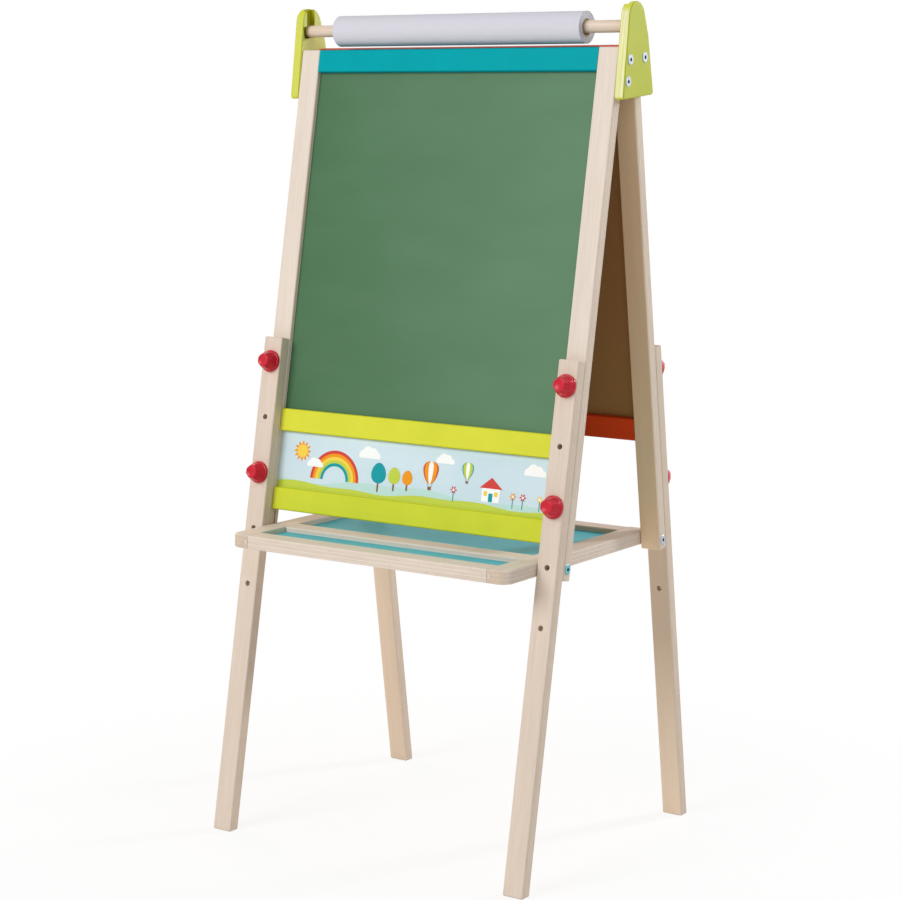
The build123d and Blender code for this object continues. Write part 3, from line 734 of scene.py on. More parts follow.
@dataclass
class Patchwork:
    """Vertices and faces of one piece, gathered from surface grids.

    Attributes:
        points: one array of points per grid, in millimetres.
        faces: the grids' faces, as lists of point numbers.
        slots: the material slot of each face.
        marks: named point attributes, one array per grid.
    """

    points: list[np.ndarray] = field(default_factory=list)
    faces: list[list[int]] = field(default_factory=list)
    slots: list[int] = field(default_factory=list)
    marks: dict[str, list[np.ndarray]] = field(default_factory=dict)

    def add_grid(
        self,
        grid: np.ndarray,
        wraps: tuple[bool, bool] = (False, True),
        facing: Triple | None = None,
        slot: int = 0,
        marks: dict[str, np.ndarray] | None = None,
    ) -> None:
        """Adds a surface: point (k, j) is joined to (k + 1, j) and (k, j + 1) by a quad.

        A first or last row that is all one point becomes a pole with a fan of triangles. The faces
        are turned to the way that is given, or else so that the enclosed volume is positive.

        Args:
            grid: points in millimetres, shaped (rows, points in a row, 3).
            wraps: whether the last row joins the first, and whether each row is a ring.
            facing: the direction that an open sheet's front looks to.
            slot: material slot of its faces.
            marks: point attributes, each shaped (rows, points in a row).
        """
        flat = grid.reshape(-1, 3)
        numbers = np.arange(len(flat)).reshape(grid.shape[:2])
        for row in (0, -1):
            if np.ptp(grid[row], axis=0).max() < ONE_POINT:
                numbers[row] = numbers[row, 0]
        numbers = np.pad(numbers, [(0, int(wrap)) for wrap in wraps], mode="wrap")
        corners = [numbers[:-1, :-1], numbers[:-1, 1:], numbers[1:, 1:], numbers[1:, :-1]]
        quads = np.stack(corners, axis=-1).reshape(-1, 4)
        a, b, c, d = flat[quads].transpose(1, 0, 2)
        if facing:
            outward = np.cross(c - a, d - b).sum(axis=0) @ np.array(facing)
        else:
            outward = (np.cross(a, b) * c + np.cross(a, c) * d).sum()
        if outward < 0:
            quads = quads[:, ::-1]
        quads = quads + sum(len(array) for array in self.points)
        faces = [list(dict.fromkeys(quad)) for quad in quads.tolist()]
        faces = [face for face in faces if len(face) > 2]
        self.points.append(flat)
        self.faces += faces
        self.slots += [slot] * len(faces)
        for name, values in (marks or {}).items():
            self.marks.setdefault(name, []).append(np.asarray(values, float).reshape(-1))

    def to_object(self, name: str, smooth_degrees: float = 40.0) -> bpy.types.Object:
        """Makes the piece's object at the origin, its place in its mesh.

        Args:
            name: the piece's name.
            smooth_degrees: edges sharper than this stay crisp.

        Returns:
            The object, linked to the scene.
        """
        points = np.concatenate(self.points) / METRE
        used = np.unique(np.concatenate(self.faces))
        renumber = np.full(len(points), -1)
        renumber[used] = np.arange(len(used))
        mesh = bpy.data.meshes.new(name)
        mesh.from_pydata(points[used].tolist(), [], [renumber[face].tolist() for face in self.faces])
        mesh.polygons.foreach_set("material_index", np.array(self.slots, np.int32))
        mesh.polygons.foreach_set("use_smooth", np.ones(len(self.faces), bool))
        for mark, arrays in self.marks.items():
            attribute = mesh.attributes.new(mark, "FLOAT", "POINT")
            attribute.data.foreach_set("value", np.concatenate(arrays)[used].astype(np.float32))
        mesh.update()
        mesh.set_sharp_from_angle(angle=math.radians(smooth_degrees))
        made = bpy.data.objects.new(name, mesh)
        bpy.context.scene.collection.objects.link(made)
        return made


def once_round(count: int) -> np.ndarray:
    """Angles once round, that many."""
    return np.linspace(0.0, TURN, count, endpoint=False)


def axis_rings(
    heights: np.ndarray, radii: np.ndarray, start: np.ndarray, axis: np.ndarray
) -> np.ndarray:
    """Rings about an axis: start + height * axis + radius * (cos a * side + sin a * up).

    Args:
        heights: height of each point along the axis, shaped (rings, points round) or (rings, 1).
        radii: distance of each point from the axis, shaped (rings, points round).
        start: the axis's foot, in millimetres.
        axis: its unit vector, square to Z or nearly.

    Returns:
        Points shaped (rings, points round, 3).
    """
    side = np.cross([0.0, 0.0, 1.0], axis)
    side /= np.linalg.norm(side)
    angles = once_round(radii.shape[1])[:, None]
    out = np.cos(angles) * side + np.sin(angles) * np.cross(axis, side)
    heights = np.broadcast_to(heights, radii.shape)
    return start + heights[..., None] * axis + radii[..., None] * out


def quarter_round(height: float, radius: float, bend: float, count: int) -> np.ndarray:
    """A rounded edge from a round wall to its flat top, a quarter circle about (-bend, -bend).

    Args:
        height: the top's height.
        radius: the wall's radius.
        bend: the quarter circle's radius.
        count: how many points it has.

    Returns:
        Rows of height and radius.
    """
    a = np.linspace(0.0, math.pi / 2, count)
    return np.stack([height - bend + bend * np.sin(a), radius - bend + bend * np.cos(a)], axis=1)


def box_middle(node: str) -> np.ndarray:
    """The middle of a CAD node's box, in millimetres."""
    low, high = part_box(node)
    return np.array((low + high) / 2) * METRE


def dress(names: list[str], finish: Finish) -> None:
    """Gives CAD nodes a finish.

    Args:
        names: the nodes' names.
        finish: their finish.
    """
    for name in names:
        slots = bpy.data.objects[name].data.materials
        slots.clear()
        slots.append(finish.material())
        LOG.info("%s: %s", name, finish.name)


def settle(
    piece: bpy.types.Object, body: str, nodes: list[str], finishes: list[Finish]
) -> None:
    """Gives a new piece its finishes, body, slot and the CAD nodes that it stands for.

    Args:
        piece: the new piece.
        body: the body that it moves with.
        nodes: CAD nodes that it replaces.
        finishes: its finishes, in the order of its material slots.
    """
    for finish in finishes:
        piece.data.materials.append(finish.material())
    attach(piece, body)
    if nodes:
        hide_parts(*nodes)
    LOG.info("%s rides on %s", piece.name, body)


ZINC = PlatedMetal("zinc_plated_steel", light="#cbd2dc", dark="#97a3b1")
# Painted shade: the blue bolts' socket colour darkens their hex sockets.
BLUE_ZINC = PlatedMetal("blue_passivated_steel", light="#8cc4ca", dark="#4f99a3", painted_socket_shade="#123f49")
BRASS = PlatedMetal("turned_brass", light="#c7a560", dark="#a98545", roughness=0.3)
BEECH = BeechRod("sanded_beech")


@dataclass
class Frame:
    """One of the two frames: stiles, rails, boards, legs and what joins them.

    Attributes:
        word: its word in the nodes' names.
        facing: -1 where its show face looks along -Y, +1 along +Y.
        lean: angle from upright, in degrees.
        foot_spread: distance between the two frames' feet lines, in millimetres.
        slope: length from the stiles' tops to the floor, in millimetres.
        ply: plywood thickness.
        panel: board thickness.
        leg_gap: clearance between stile and leg.
        rail_sheen: strength of the rails' surface reflection.
        shaded_leg_faces: light and dark of the legs' show faces, a painted shade darker than the stiles'
            for the dimmer light low down.
        bounce_lit_inner_faces: the stiles' and legs' inner face colours, a painted warm bounce light in
            the shade between the frames.
    """

    word: str
    facing: int
    lean: float
    foot_spread: float = 377.98
    slope: float = 1009.0
    ply: float = 16.0
    panel: float = 3.0
    leg_gap: float = 0.1
    rail_sheen: float = 0.03
    # Painted shade: the legs' faces are darker than the stiles', for the dimmer light low down.
    shaded_leg_faces: tuple[str, str] = ("#decfc0", "#d8c6b5")
    # Painted light: warm bounce light on the stiles' and legs' inner faces.
    bounce_lit_inner_faces: tuple[str, str] = ("#edd4b3", "#dbc7b0")

    def axes(self) -> BoardAxes:
        """The frame's own axes, started at its stiles' tops on the show face.

        Returns:
            The axes.
        """
        angle = math.radians(self.lean)
        top = self.slope * math.cos(angle)
        back = self.facing * (self.foot_spread / 2 - top * math.tan(angle))
        depth = (0.0, -self.facing * math.cos(angle), -math.sin(angle))
        grain = (0.0, -self.facing * math.sin(angle), math.cos(angle))
        return BoardAxes((0.0, back, top), depth, grain)

    def board_axes(self) -> BoardAxes:
        """The boards' axes, started on their show faces."""
        return self.axes().shifted((self.ply - self.panel) / 2)

    def leg_axes(self) -> BoardAxes:
        """The legs' axes, started on their outer faces."""
        return self.axes().shifted(-self.ply - self.leg_gap)

    def dress(self, rails: dict[str, Triad], boards: dict[str, CoatedHardboard]) -> None:
        """Gives the frame's solids their finishes.

        Args:
            rails: face, edge and rim colours of each rail's node.
            boards: finish of each board's node.
        """
        name = f"birch_plywood_{self.word}"
        # Painted light: the inner colours are a warm bounce light.
        stile_inner_bounce, leg_inner_bounce = self.bounce_lit_inner_faces
        # Painted shade: the legs' faces are darker than the stiles'.
        light, dark = self.shaded_leg_faces
        stiles = BirchPlywood(f"{name}_stiles", self.axes(), inner=stile_inner_bounce)
        legs = BirchPlywood(
            f"{name}_legs", self.leg_axes(), face_light=light, face_dark=dark, inner=leg_inner_bounce
        )
        dress([f"{self.word}_{side.word}_stile" for side in Side], stiles)
        dress([f"{self.word}_{side.word}_leg" for side in Side], legs)
        for node, (colour, edge, rim) in rails.items():
            name = f"satin_lacquer_{node}"
            dress([node], SatinLacquer(name, self.axes(), self.rail_sheen, colour, edge, rim, rim))
        for node, finish in boards.items():
            dress([node], finish)
        dress([f"{self.word}_rail_dowels"], BEECH)
        dress([f"{self.word}_stile_inserts"], BRASS)


@dataclass
class Knobs:
    """The red thumb knobs on their studs.

    A knob is a ring surface: each ring's radius is r - bite * w * ((1 + cos 8a) / 2) ** 2, a circle
    with eight rounded flutes of weight w. The rings climb from the leg's face to a dished nose, and
    the grip swells a little between them: its radius falls as the climb's power.
    """

    flange_radius: float = 14.0
    flange_height: float = 4.0
    grip_radius: float = 12.7
    grip_step: float = 0.3
    grip_flare: float = 0.1
    nose_radius: float = 8.4
    swell: float = 1.5
    height: float = 17.5
    edge_round: float = 1.2
    seat_gap: float = 0.05
    seat_round: float = 0.4
    flutes: int = 8
    flute_bite: float = 0.6
    dish: float = 0.7
    dish_slope: float = 0.6
    dish_insets: Triple = (0.9, 1.5, 2.6)
    grip_rings: int = 12
    edge_rings: int = 5
    around: int = 96

    def profile(self) -> np.ndarray:
        """The knob's rings from its seat to the middle of its nose.

        Returns:
            Height, radius and flute weight of each ring.
        """
        bend, flange, count = self.edge_round, self.flange_radius, self.edge_rings
        seat = [
            (self.seat_gap, 0.0, 0.0),
            (self.seat_gap, flange - self.seat_round, 0.0),
            (self.seat_round, flange, 0.0),
        ]
        rim = quarter_round(self.flange_height, flange, bend, count)
        rim = np.column_stack([rim, np.zeros(count)])
        foot = [(self.flange_height, self.grip_radius + self.grip_flare, 0.4)]
        climb = np.linspace(0.0, 1.0, self.grip_rings)
        low, top = self.flange_height + self.grip_step, self.height - bend
        radii = self.grip_radius - (self.grip_radius - self.nose_radius) * climb**self.swell
        grip = np.column_stack([low + climb * (top - low), radii, np.ones_like(climb)])
        nose = quarter_round(self.height, self.nose_radius, bend, count)[1:]
        nose = np.column_stack([nose, np.linspace(0.8, 0.3, count - 1)])
        lip, slope, level = (self.nose_radius - bend - inset for inset in self.dish_insets)
        dished = [
            (self.height, lip, 0.1),
            (self.height - self.dish_slope * self.dish, slope, 0.0),
            (self.height - self.dish, level, 0.0),
            (self.height - self.dish, 0.0, 0.0),
        ]
        return np.concatenate([seat, rim, foot, grip, nose, dished])

    def build(self, joints: list[dict]) -> None:
        """Makes a knob on each knob's joint.

        Args:
            joints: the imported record's joints.
        """
        finish = MouldedPlastic("moulded_red_abs", sheen=0.22, colour="#d41f35", deep="#c0172b")
        heights, plain, weight = np.hsplit(self.profile(), 3)
        flute = ((1 + np.cos(self.flutes * once_round(self.around))) / 2) ** 2
        radii = np.maximum(plain - self.flute_bite * weight * flute, 0.0)
        for joint in joints:
            body = joint["child"]
            if not body.endswith("_knob"):
                continue
            start = np.array(joint["pos_m"]) * METRE
            work = Patchwork()
            work.add_grid(axis_rings(heights, radii, start, np.array(joint["axis"])))
            settle(work.to_object(f"{body}_moulding"), body, [body], [finish])
            dress([body.replace("_knob", "_stud")], ZINC)


@dataclass
class Screws:
    """Flat-headed screws and bolts with a hexagon socket.

    A screw is a ring surface up its shank, out under its head, over the chamfer and into the socket,
    where the rings' radius is that of a hexagon: a / cos(a0), a0 being the angle from its flat.
    """

    half_width: float = 235.0
    bracket: float = 12.5
    shank_radius: float = 3.0
    tip: float = 0.5
    head_radius: float = 6.25
    head_height: float = 0.9
    chamfer: float = 0.4
    soft_edge: float = 0.15
    shoulder: float = 0.1
    face_ring: float = 3.3
    hex_radius: float = 2.0
    hex_break: float = 0.2
    hex_depth: float = 3.0
    drill_point: float = 0.4
    screw_length: float = 27.5
    rear_bolt_length: float = 28.0
    front_bolt_length: float = 44.5
    screw_drops: Pair = (14.5, 40.5)
    socket_rings: int = 3
    smooth_degrees: float = 30.0
    around: int = 72

    def rings(self, length: float) -> tuple[np.ndarray, np.ndarray]:
        """Heights and radii of a screw's rings, from the shank's end to the socket's floor.

        Args:
            length: shank length under the head.

        Returns:
            Heights shaped (rings, 1) and radii shaped (rings, points round).
        """
        flat = TURN / 6
        hexagon = self.hex_radius / np.cos(np.mod(once_round(self.around), flat) - flat / 2)
        top, floor = self.head_height, self.head_height - self.hex_depth
        inset = self.head_radius - self.chamfer
        steps = [
            (-length, 0.0),
            (-length, self.shank_radius - self.tip),
            (self.tip - length, self.shank_radius),
            (0.0, self.shank_radius),
            (0.0, self.head_radius),
            (top - self.chamfer, self.head_radius),
            (top - self.soft_edge, inset + self.shoulder),
            (top, inset - self.soft_edge),
            (top, self.face_ring),
            (top, hexagon + self.hex_break),
            (top - self.hex_break, hexagon),
            (floor, hexagon),
            (floor - self.drill_point, 0.0),
        ]
        heights = np.array([height for height, _ in steps])[:, None]
        return heights, np.stack([np.broadcast_to(radius, self.around) for _, radius in steps])

    def build(self, front: Frame) -> None:
        """Makes each node's screws as one piece.

        Args:
            front: the chalkboard frame, which carries the bracket screws.
        """
        axes, middle = front.axes(), front.ply / 2
        spots = [axes.place([0.0, middle, -drop]) for drop in self.screw_drops]
        inner, outer = self.half_width, self.half_width + self.bracket
        sets = {
            "bracket_screws": ("front_frame", outer, self.screw_length, ZINC),
            "pivot_screws": ("back_frame", outer, self.screw_length, ZINC),
            "rear_tray_bolts": ("back_frame", inner, self.rear_bolt_length, ZINC),
            "front_tray_bolts": ("tray", inner, self.front_bolt_length, BLUE_ZINC),
        }
        for node, (body, seat, length, finish) in sets.items():
            heights, radii = self.rings(length)
            # The socket's rings are marked for the painted socket shade.
            recess = np.zeros_like(radii)
            recess[-self.socket_rings :] = 1.0
            marks = {"from_axis": radii, "recess": recess}
            work = Patchwork()
            for side in Side:
                for _, y, z in spots if node == "bracket_screws" else [box_middle(node)]:
                    start = np.array([side.value * seat, y, z])
                    work.add_grid(axis_rings(heights, radii, start, side.value * ACROSS), marks=marks)
            piece = work.to_object(f"{node}_plated", self.smooth_degrees)
            settle(piece, body, [node], [finish])


@dataclass
class Brackets:
    """The lime brackets at the top, cut from plywood, grooved for the dowel and lacquered."""

    half_width: float = 235.0
    thickness: float = 12.5
    line_pitch: float = 2.0
    sheen: float = 0.12
    colour: str = "#c0c850"
    # Left and right edge-line colours: ply lines on both, and on the right a pale cream painted
    # reflection of the lamps.
    edges: tuple[str, str] = ("#d2d262", "#eee8c6")
    rim: str = "#aeb82c"
    sawn: str = "#cdd23a"
    # Painted shade for the channel, and painted light for the inner face, below.
    painted_channel_shade: str = "#a5a616"
    inner: str = "#d2d67e"

    def dress(self) -> None:
        """Gives both brackets their lacquer, each with its plies along X; the right one's edge lines
        carry a painted reflection.
        """
        _, y, z = box_middle("roll_dowel")
        for side, edge in zip(Side, self.edges):
            outer = side.value * (self.half_width + self.thickness)
            finish = GroovedLacquer(
                f"satin_lacquer_{side.word}_bracket",
                BoardAxes((outer, y, z), (-side.value, 0.0, 0.0), (0.0, 0.0, 1.0)),
                self.sheen,
                self.colour,
                edge,
                self.rim,
                self.sawn,
                self.line_pitch,
                painted_channel_shade=self.painted_channel_shade,
                inner=self.inner,
                thickness=self.thickness,
            )
            dress([f"{side.word}_bracket"], finish)


@dataclass
class PaperRoll:
    """The dowel, the cardboard core and the paper wound on it.

    All three are ring surfaces about X. The paper's radius falls by the loose end's step over one
    turn, R - step * a / 2 pi, so that its outer edge shows as a lip, and its ends telescope by a few
    tenths of a millimetre, a sum of two sines of the radius.
    """

    length: float = 366.0
    shift: float = -2.5
    paper_radius: float = 19.75
    core_radius: float = 10.5
    bore_radius: float = 8.5
    core_gap: float = 0.05
    core_break: float = 0.25
    loose_step: float = 0.35
    ripple: float = 0.1
    ripple_length: float = 23.0
    bore_inset: float = 0.4
    rod_radius: float = 7.5
    rod_round: float = 2.5
    rod_end_rings: int = 7
    length_rings: int = 40
    end_rings: int = 24
    around: int = 160
    rod_around: int = 64

    def build(self, joints: list[dict]) -> None:
        """Makes the dowel, core and paper.

        Args:
            joints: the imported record's joints, which give the roll's axis.
        """
        spin = next(joint for joint in joints if joint["child"] == "paper_roll")
        start = np.array(spin["pos_m"]) * METRE + self.shift * ACROSS
        self.build_paper(start)
        self.build_core(start)
        self.build_dowel()

    def build_paper(self, start: np.ndarray) -> None:
        """Makes the paper: outer face, right end, bore and left end in one closed ring surface.

        Args:
            start: the roll's middle, in millimetres.
        """
        turn = np.linspace(0.0, 1.0, self.around, endpoint=False)
        half = self.length / 2
        along = np.linspace(-half, half, self.length_rings)[:, None]
        ripple = self.ripple * np.sin(along / self.ripple_length) * np.sin(2 * TURN * turn)
        outer = self.paper_radius - self.ripple - self.loose_step * turn + ripple
        bore = np.full((2, self.around), self.core_radius + self.core_gap)
        share = np.linspace(0.0, 1.0, self.end_rings + 2)[1:-1, None]
        ends = outer[-1] + share * (bore[0] - outer[-1])
        sag = 0.3 + 0.2 * np.sin(2.1 * ends) + 0.1 * np.sin(5.3 * ends + 1.0)
        radii = np.concatenate([outer, ends, bore, ends[::-1]])
        bore_ends = (half - self.bore_inset) * np.array([[1.0], [-1.0]])
        flat, deep = np.broadcast_to(along, outer.shape), np.broadcast_to(bore_ends, bore.shape)
        heights = np.concatenate([flat, half - sag, deep, (sag - half)[::-1]])
        ending = np.repeat([0.0, 1.0, 0.0, 1.0], [len(outer), len(ends), len(bore), len(ends)])
        finish = WoundSheet(
            "uncoated_drawing_paper",
            face="#d7d5dd",
            shade="#cecdd6",
            ring_light="#e2e2ea",
            ring_dark="#b4b9c6",
        )
        piece = self.wound("paper_wound", heights, radii, ending, start)
        settle(piece, "paper_roll", ["paper_roll"], [finish])

    def build_core(self, start: np.ndarray) -> None:
        """Makes the core: a tube with slightly broken edges.

        Args:
            start: the roll's middle, in millimetres.
        """
        half, rough = self.length / 2, self.core_break
        right = np.array(
            [
                (half - rough, self.core_radius, 0.0),
                (half, self.core_radius - rough, 1.0),
                (half, self.bore_radius + rough, 1.0),
                (half - rough, self.bore_radius, 0.0),
            ]
        )
        profile = np.concatenate([right, right[::-1] * (-1.0, 1.0, 1.0)])
        finish = WoundSheet(
            "wound_kraft_board",
            face="#a98a63",
            shade="#957650",
            ring_light="#b5966c",
            ring_dark="#8b6a44",
            ring=0.4,
        )
        radii = np.repeat(profile[:, 1:2], self.around, axis=1)
        piece = self.wound("core_wound", profile[:, 0:1], radii, profile[:, 2], start)
        settle(piece, "paper_roll", ["roll_core"], [finish])

    def wound(
        self,
        name: str,
        heights: np.ndarray,
        radii: np.ndarray,
        ending: np.ndarray,
        start: np.ndarray,
    ) -> bpy.types.Object:
        """Makes a tube whose points know their radius and whether they lie on an end.

        Args:
            name: the piece's name.
            heights: heights of its rings' points along X from the middle.
            radii: their radii, shaped (rings, points round).
            ending: 1 for the rings on an end.
            start: the roll's middle, in millimetres.

        Returns:
            The piece.
        """
        marks = {"from_axis": radii, "end_face": np.repeat(ending[:, None], self.around, axis=1)}
        work = Patchwork()
        work.add_grid(axis_rings(heights, radii, start, ACROSS), (True, True), marks=marks)
        return work.to_object(name)

    def build_dowel(self) -> None:
        """Makes the dowel with its ends rounded over."""
        low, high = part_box("roll_dowel")
        half = (high.x - low.x) / 2 * METRE
        right = quarter_round(half, self.rod_radius, self.rod_round, self.rod_end_rings)
        right = np.concatenate([right, [(half, 0.0)]])
        profile = np.concatenate([right[::-1] * (-1.0, 1.0), right])
        radii = np.repeat(profile[:, 1:2], self.rod_around, axis=1)
        work = Patchwork()
        work.add_grid(axis_rings(profile[:, 0:1], radii, box_middle("roll_dowel"), ACROSS))
        settle(work.to_object("dowel_turned"), "roll_dowel", ["roll_dowel"], [BEECH])


@dataclass
class Tray:
    """The tray between the frames: plywood rails and teal bottoms."""

    lip: float = 6.4
    thickness: float = 17.0
    joint: float = 178.5
    seam: float = 0.6
    teal: str = "#50b9cb"
    teal_light: str = "#5fc3d3"
    cross_light: str = "#e0d3c6"
    cross_dark: str = "#d7c8b8"
    mottle: float = 90.0

    def plywood(self, word: str, axes: BoardAxes, joint: float) -> BirchPlywood:
        """The tray's plywood along a rail's grain; its seams show more than the frames'.

        Args:
            word: the rails' word in the material's name.
            axes: their axes.
            joint: distance of their joints from the middle, 0 where they have none.

        Returns:
            The finish.
        """
        return BirchPlywood(
            f"birch_plywood_tray_{word}_rails",
            axes,
            thickness=self.thickness,
            seam=self.seam,
            joint=joint,
            cross_light=self.cross_light,
            cross_dark=self.cross_dark,
        )

    def dress(self) -> None:
        """Gives the rails plywood along their own grain, and the bottoms their lacquer."""
        top = (0.0, 0.0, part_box("tray_front_rail")[1].z * METRE)
        down = (0.0, 0.0, -1.0)
        across = BoardAxes(top, down, (1.0, 0.0, 0.0))
        along = BoardAxes(top, down, (0.0, 1.0, 0.0))
        cross_rails = [f"tray_{place}_rail" for place in ("front", "middle", "rear")]
        dress(cross_rails, self.plywood("cross", across, self.joint))
        dress([f"tray_{side.word}_rail" for side in Side], self.plywood("side", along, 0.0))
        bottoms = CoatedHardboard(
            "teal_lacquered_hardboard",
            across.shifted(self.lip),
            sheen=0.04,
            coat=self.teal,
            wiped=self.teal_light,
            wipe=(self.mottle,) * 3,
            coat_roughness=0.36,
            grit_height=0.03,
        )
        dress(["tray_trough_panel", "tray_main_panel"], bottoms)
        dress(["tray_rail_dowels"], BEECH)
        dress(["tray_barrel_nuts"], ZINC)


@dataclass
class PictureStrip:
    """The printed strip between the lime rails: a small landscape in flat inks.

    Each motif is a fan about its middle, middle + s * (outline(a) - middle) for s from 0 to 1, or a
    band between two curves. Inks lie over each other in layers a few hundredths of a millimetre
    thick, as in screen printing. Places are across and up from the strip's middle, then a size.
    """

    axes: BoardAxes
    middle_drop: float = 528.75
    half_width: float = 207.0
    half_height: float = 36.25
    film: float = 0.04
    hub: float = 0.02
    around: int = 64
    rainbow_at: Triple = (-118.0, -20.0, 38.0)
    rainbow_band: float = 4.0
    sun_at: Pair = (-172.0, 13.0)
    clouds_at: tuple[Triple, ...] = (
        (-150.0, -2.0, 6.5),
        (-66.0, 17.0, 8.5),
        (48.0, 20.0, 7.0),
        (178.0, 17.0, 8.0),
    )
    cloud_discs: tuple[Triple, ...] = (
        (-1.2, -0.1, 0.75),
        (-0.4, 0.35, 0.95),
        (0.55, 0.25, 0.85),
        (1.3, -0.15, 0.65),
    )
    trees_at: tuple[tuple[float, float, Ink], ...] = (
        (-50.0, 13.0, Ink.TEAL),
        (-26.0, 10.5, Ink.LIME),
        (-6.0, 9.0, Ink.ORANGE),
    )
    balloons_at: tuple[tuple[Triple, tuple[Ink, Ink, Ink]], ...] = (
        ((28.0, 5.0, 13.0), (Ink.RED, Ink.ORANGE, Ink.WHITE)),
        ((82.0, 12.0, 9.5), (Ink.TEAL, Ink.LIME, Ink.WHITE)),
    )
    house_x: float = 118.0
    flowers_at: tuple[tuple[float, Ink], ...] = (
        (64.0, Ink.RED),
        (150.0, Ink.ORANGE),
        (164.0, Ink.RED),
        (188.0, Ink.YELLOW),
    )
    work: Patchwork = field(default_factory=Patchwork)

    def build(self) -> None:
        """Prints the landscape and settles it on the chalkboard frame."""
        self.hills()
        self.rainbow()
        self.sun()
        self.clouds()
        self.trees()
        self.balloons()
        self.house()
        self.flowers()
        finishes = [PrintedInk(f"printed_ink_{ink.name.lower()}", colour=ink.value) for ink in Ink]
        settle(self.work.to_object("picture_print"), "front_frame", [], finishes)

    def put(self, grid: np.ndarray, ink: Ink, layer: int) -> None:
        """Lays an ink's grid on the strip.

        Args:
            grid: points across and up from the strip's middle, shaped (rows, columns, 2).
            ink: its ink.
            layer: how many films lie under it.
        """
        depth = np.full(grid.shape[:2], -self.film * (layer + 1))
        points = np.stack([grid[..., 0], depth, grid[..., 1] - self.middle_drop], axis=-1)
        facing = tuple(-value for value in self.axes.depth)
        self.work.add_grid(self.axes.place(points), (False, False), facing, list(Ink).index(ink))

    def fan(self, middle: Pair, outline: np.ndarray, ink: Ink, layer: int) -> None:
        """Lays a filled outline: the fan from its middle to its closed edge.

        Args:
            middle: the fan's middle.
            outline: edge points about the middle, shaped (points, 2).
            ink: its ink.
            layer: how many films lie under it.
        """
        edge = np.concatenate([outline, outline[:1]])
        share = np.array([self.hub, 1.0])[:, None, None]
        self.put(np.array(middle) + share * edge, ink, layer)

    def oval(self, wide: float, high: float, square: float = 2.0) -> np.ndarray:
        """A superellipse's edge: (cos, sin) raised to 2 / square, so 2 is an oval and 8 a rounded box.

        Args:
            wide: half its width.
            high: half its height.
            square: how square it is.

        Returns:
            Edge points, shaped (points, 2).
        """
        ring = self.polar(np.ones(self.around))
        return np.array([wide, high]) * np.sign(ring) * np.abs(ring) ** (2.0 / square)

    def polar(self, radius: np.ndarray) -> np.ndarray:
        """An edge from its radius at each of the angles."""
        a = once_round(self.around)
        return radius[:, None] * np.stack([np.cos(a), np.sin(a)], axis=1)

    def hills(self) -> None:
        """Lays two rolling bands, each up to a sum of two sines."""
        x = np.linspace(-self.half_width, self.half_width, 140)
        far = -22.0 + 4.0 * np.sin(x / 47.0 + 2.0) + 1.6 * np.sin(x / 19.0)
        near = -28.5 + 2.2 * np.sin(x / 38.0) + 1.2 * np.sin(x / 15.0 + 1.0)
        for top, ink, layer in ((far, Ink.MINT, 0), (near, Ink.LIME, 2)):
            heights = np.stack([np.full_like(x, -self.half_height), top])
            self.put(np.stack(np.broadcast_arrays(x, heights), axis=-1), ink, layer)

    def rainbow(self) -> None:
        """Lays five half rings."""
        x, y, outer = self.rainbow_at
        a = np.linspace(0.0, math.pi, 48)
        ring = np.stack([np.cos(a), np.sin(a)], axis=1)
        for ink in (Ink.RED, Ink.ORANGE, Ink.YELLOW, Ink.LIME, Ink.TEAL):
            radii = np.array([outer - self.rainbow_band, outer])
            self.put(np.array([x, y]) + radii[:, None, None] * ring, ink, 1)
            outer -= self.rainbow_band

    def sun(self) -> None:
        """Lays a ring of rays, radius 11 + 2.6 cos 12a, and a disc on it."""
        rays = self.polar(11.0 + 2.6 * np.cos(12 * once_round(self.around)))
        self.fan(self.sun_at, rays, Ink.ORANGE, 1)
        self.fan(self.sun_at, self.oval(8.2, 8.2), Ink.YELLOW, 2)

    def clouds(self) -> None:
        """Lays each cloud, the union of four discs: from the middle, the farthest edge along each ray."""
        ray = self.polar(np.ones(self.around))
        for x, y, size in self.clouds_at:
            middles, radii = np.hsplit(size * np.array(self.cloud_discs), [2])
            along = ray @ middles.T
            reach = along**2 - (middles**2).sum(axis=1) + radii[:, 0] ** 2
            far = np.where(reach > 0, along + np.sqrt(np.maximum(reach, 0.0)), 0.0).max(axis=1)
            edge = self.polar(np.maximum(far, 0.3 * size))
            edge[:, 1] = np.maximum(edge[:, 1], -0.5 * size)
            self.fan((x, y), edge, Ink.WHITE, 3)

    def trees(self) -> None:
        """Lays each tree's trunk and egg-shaped crown."""
        for x, size, ink in self.trees_at:
            y = -10.0 + size * 0.45
            self.fan((x, y - size * 1.1), self.oval(1.3, size * 0.75, 6.0), Ink.BARK, 3)
            crown = self.oval(size * 0.86, size)
            crown[:, 0] *= 1.0 - 0.16 * crown[:, 1] / size
            self.fan((x, y), crown, ink, 4)

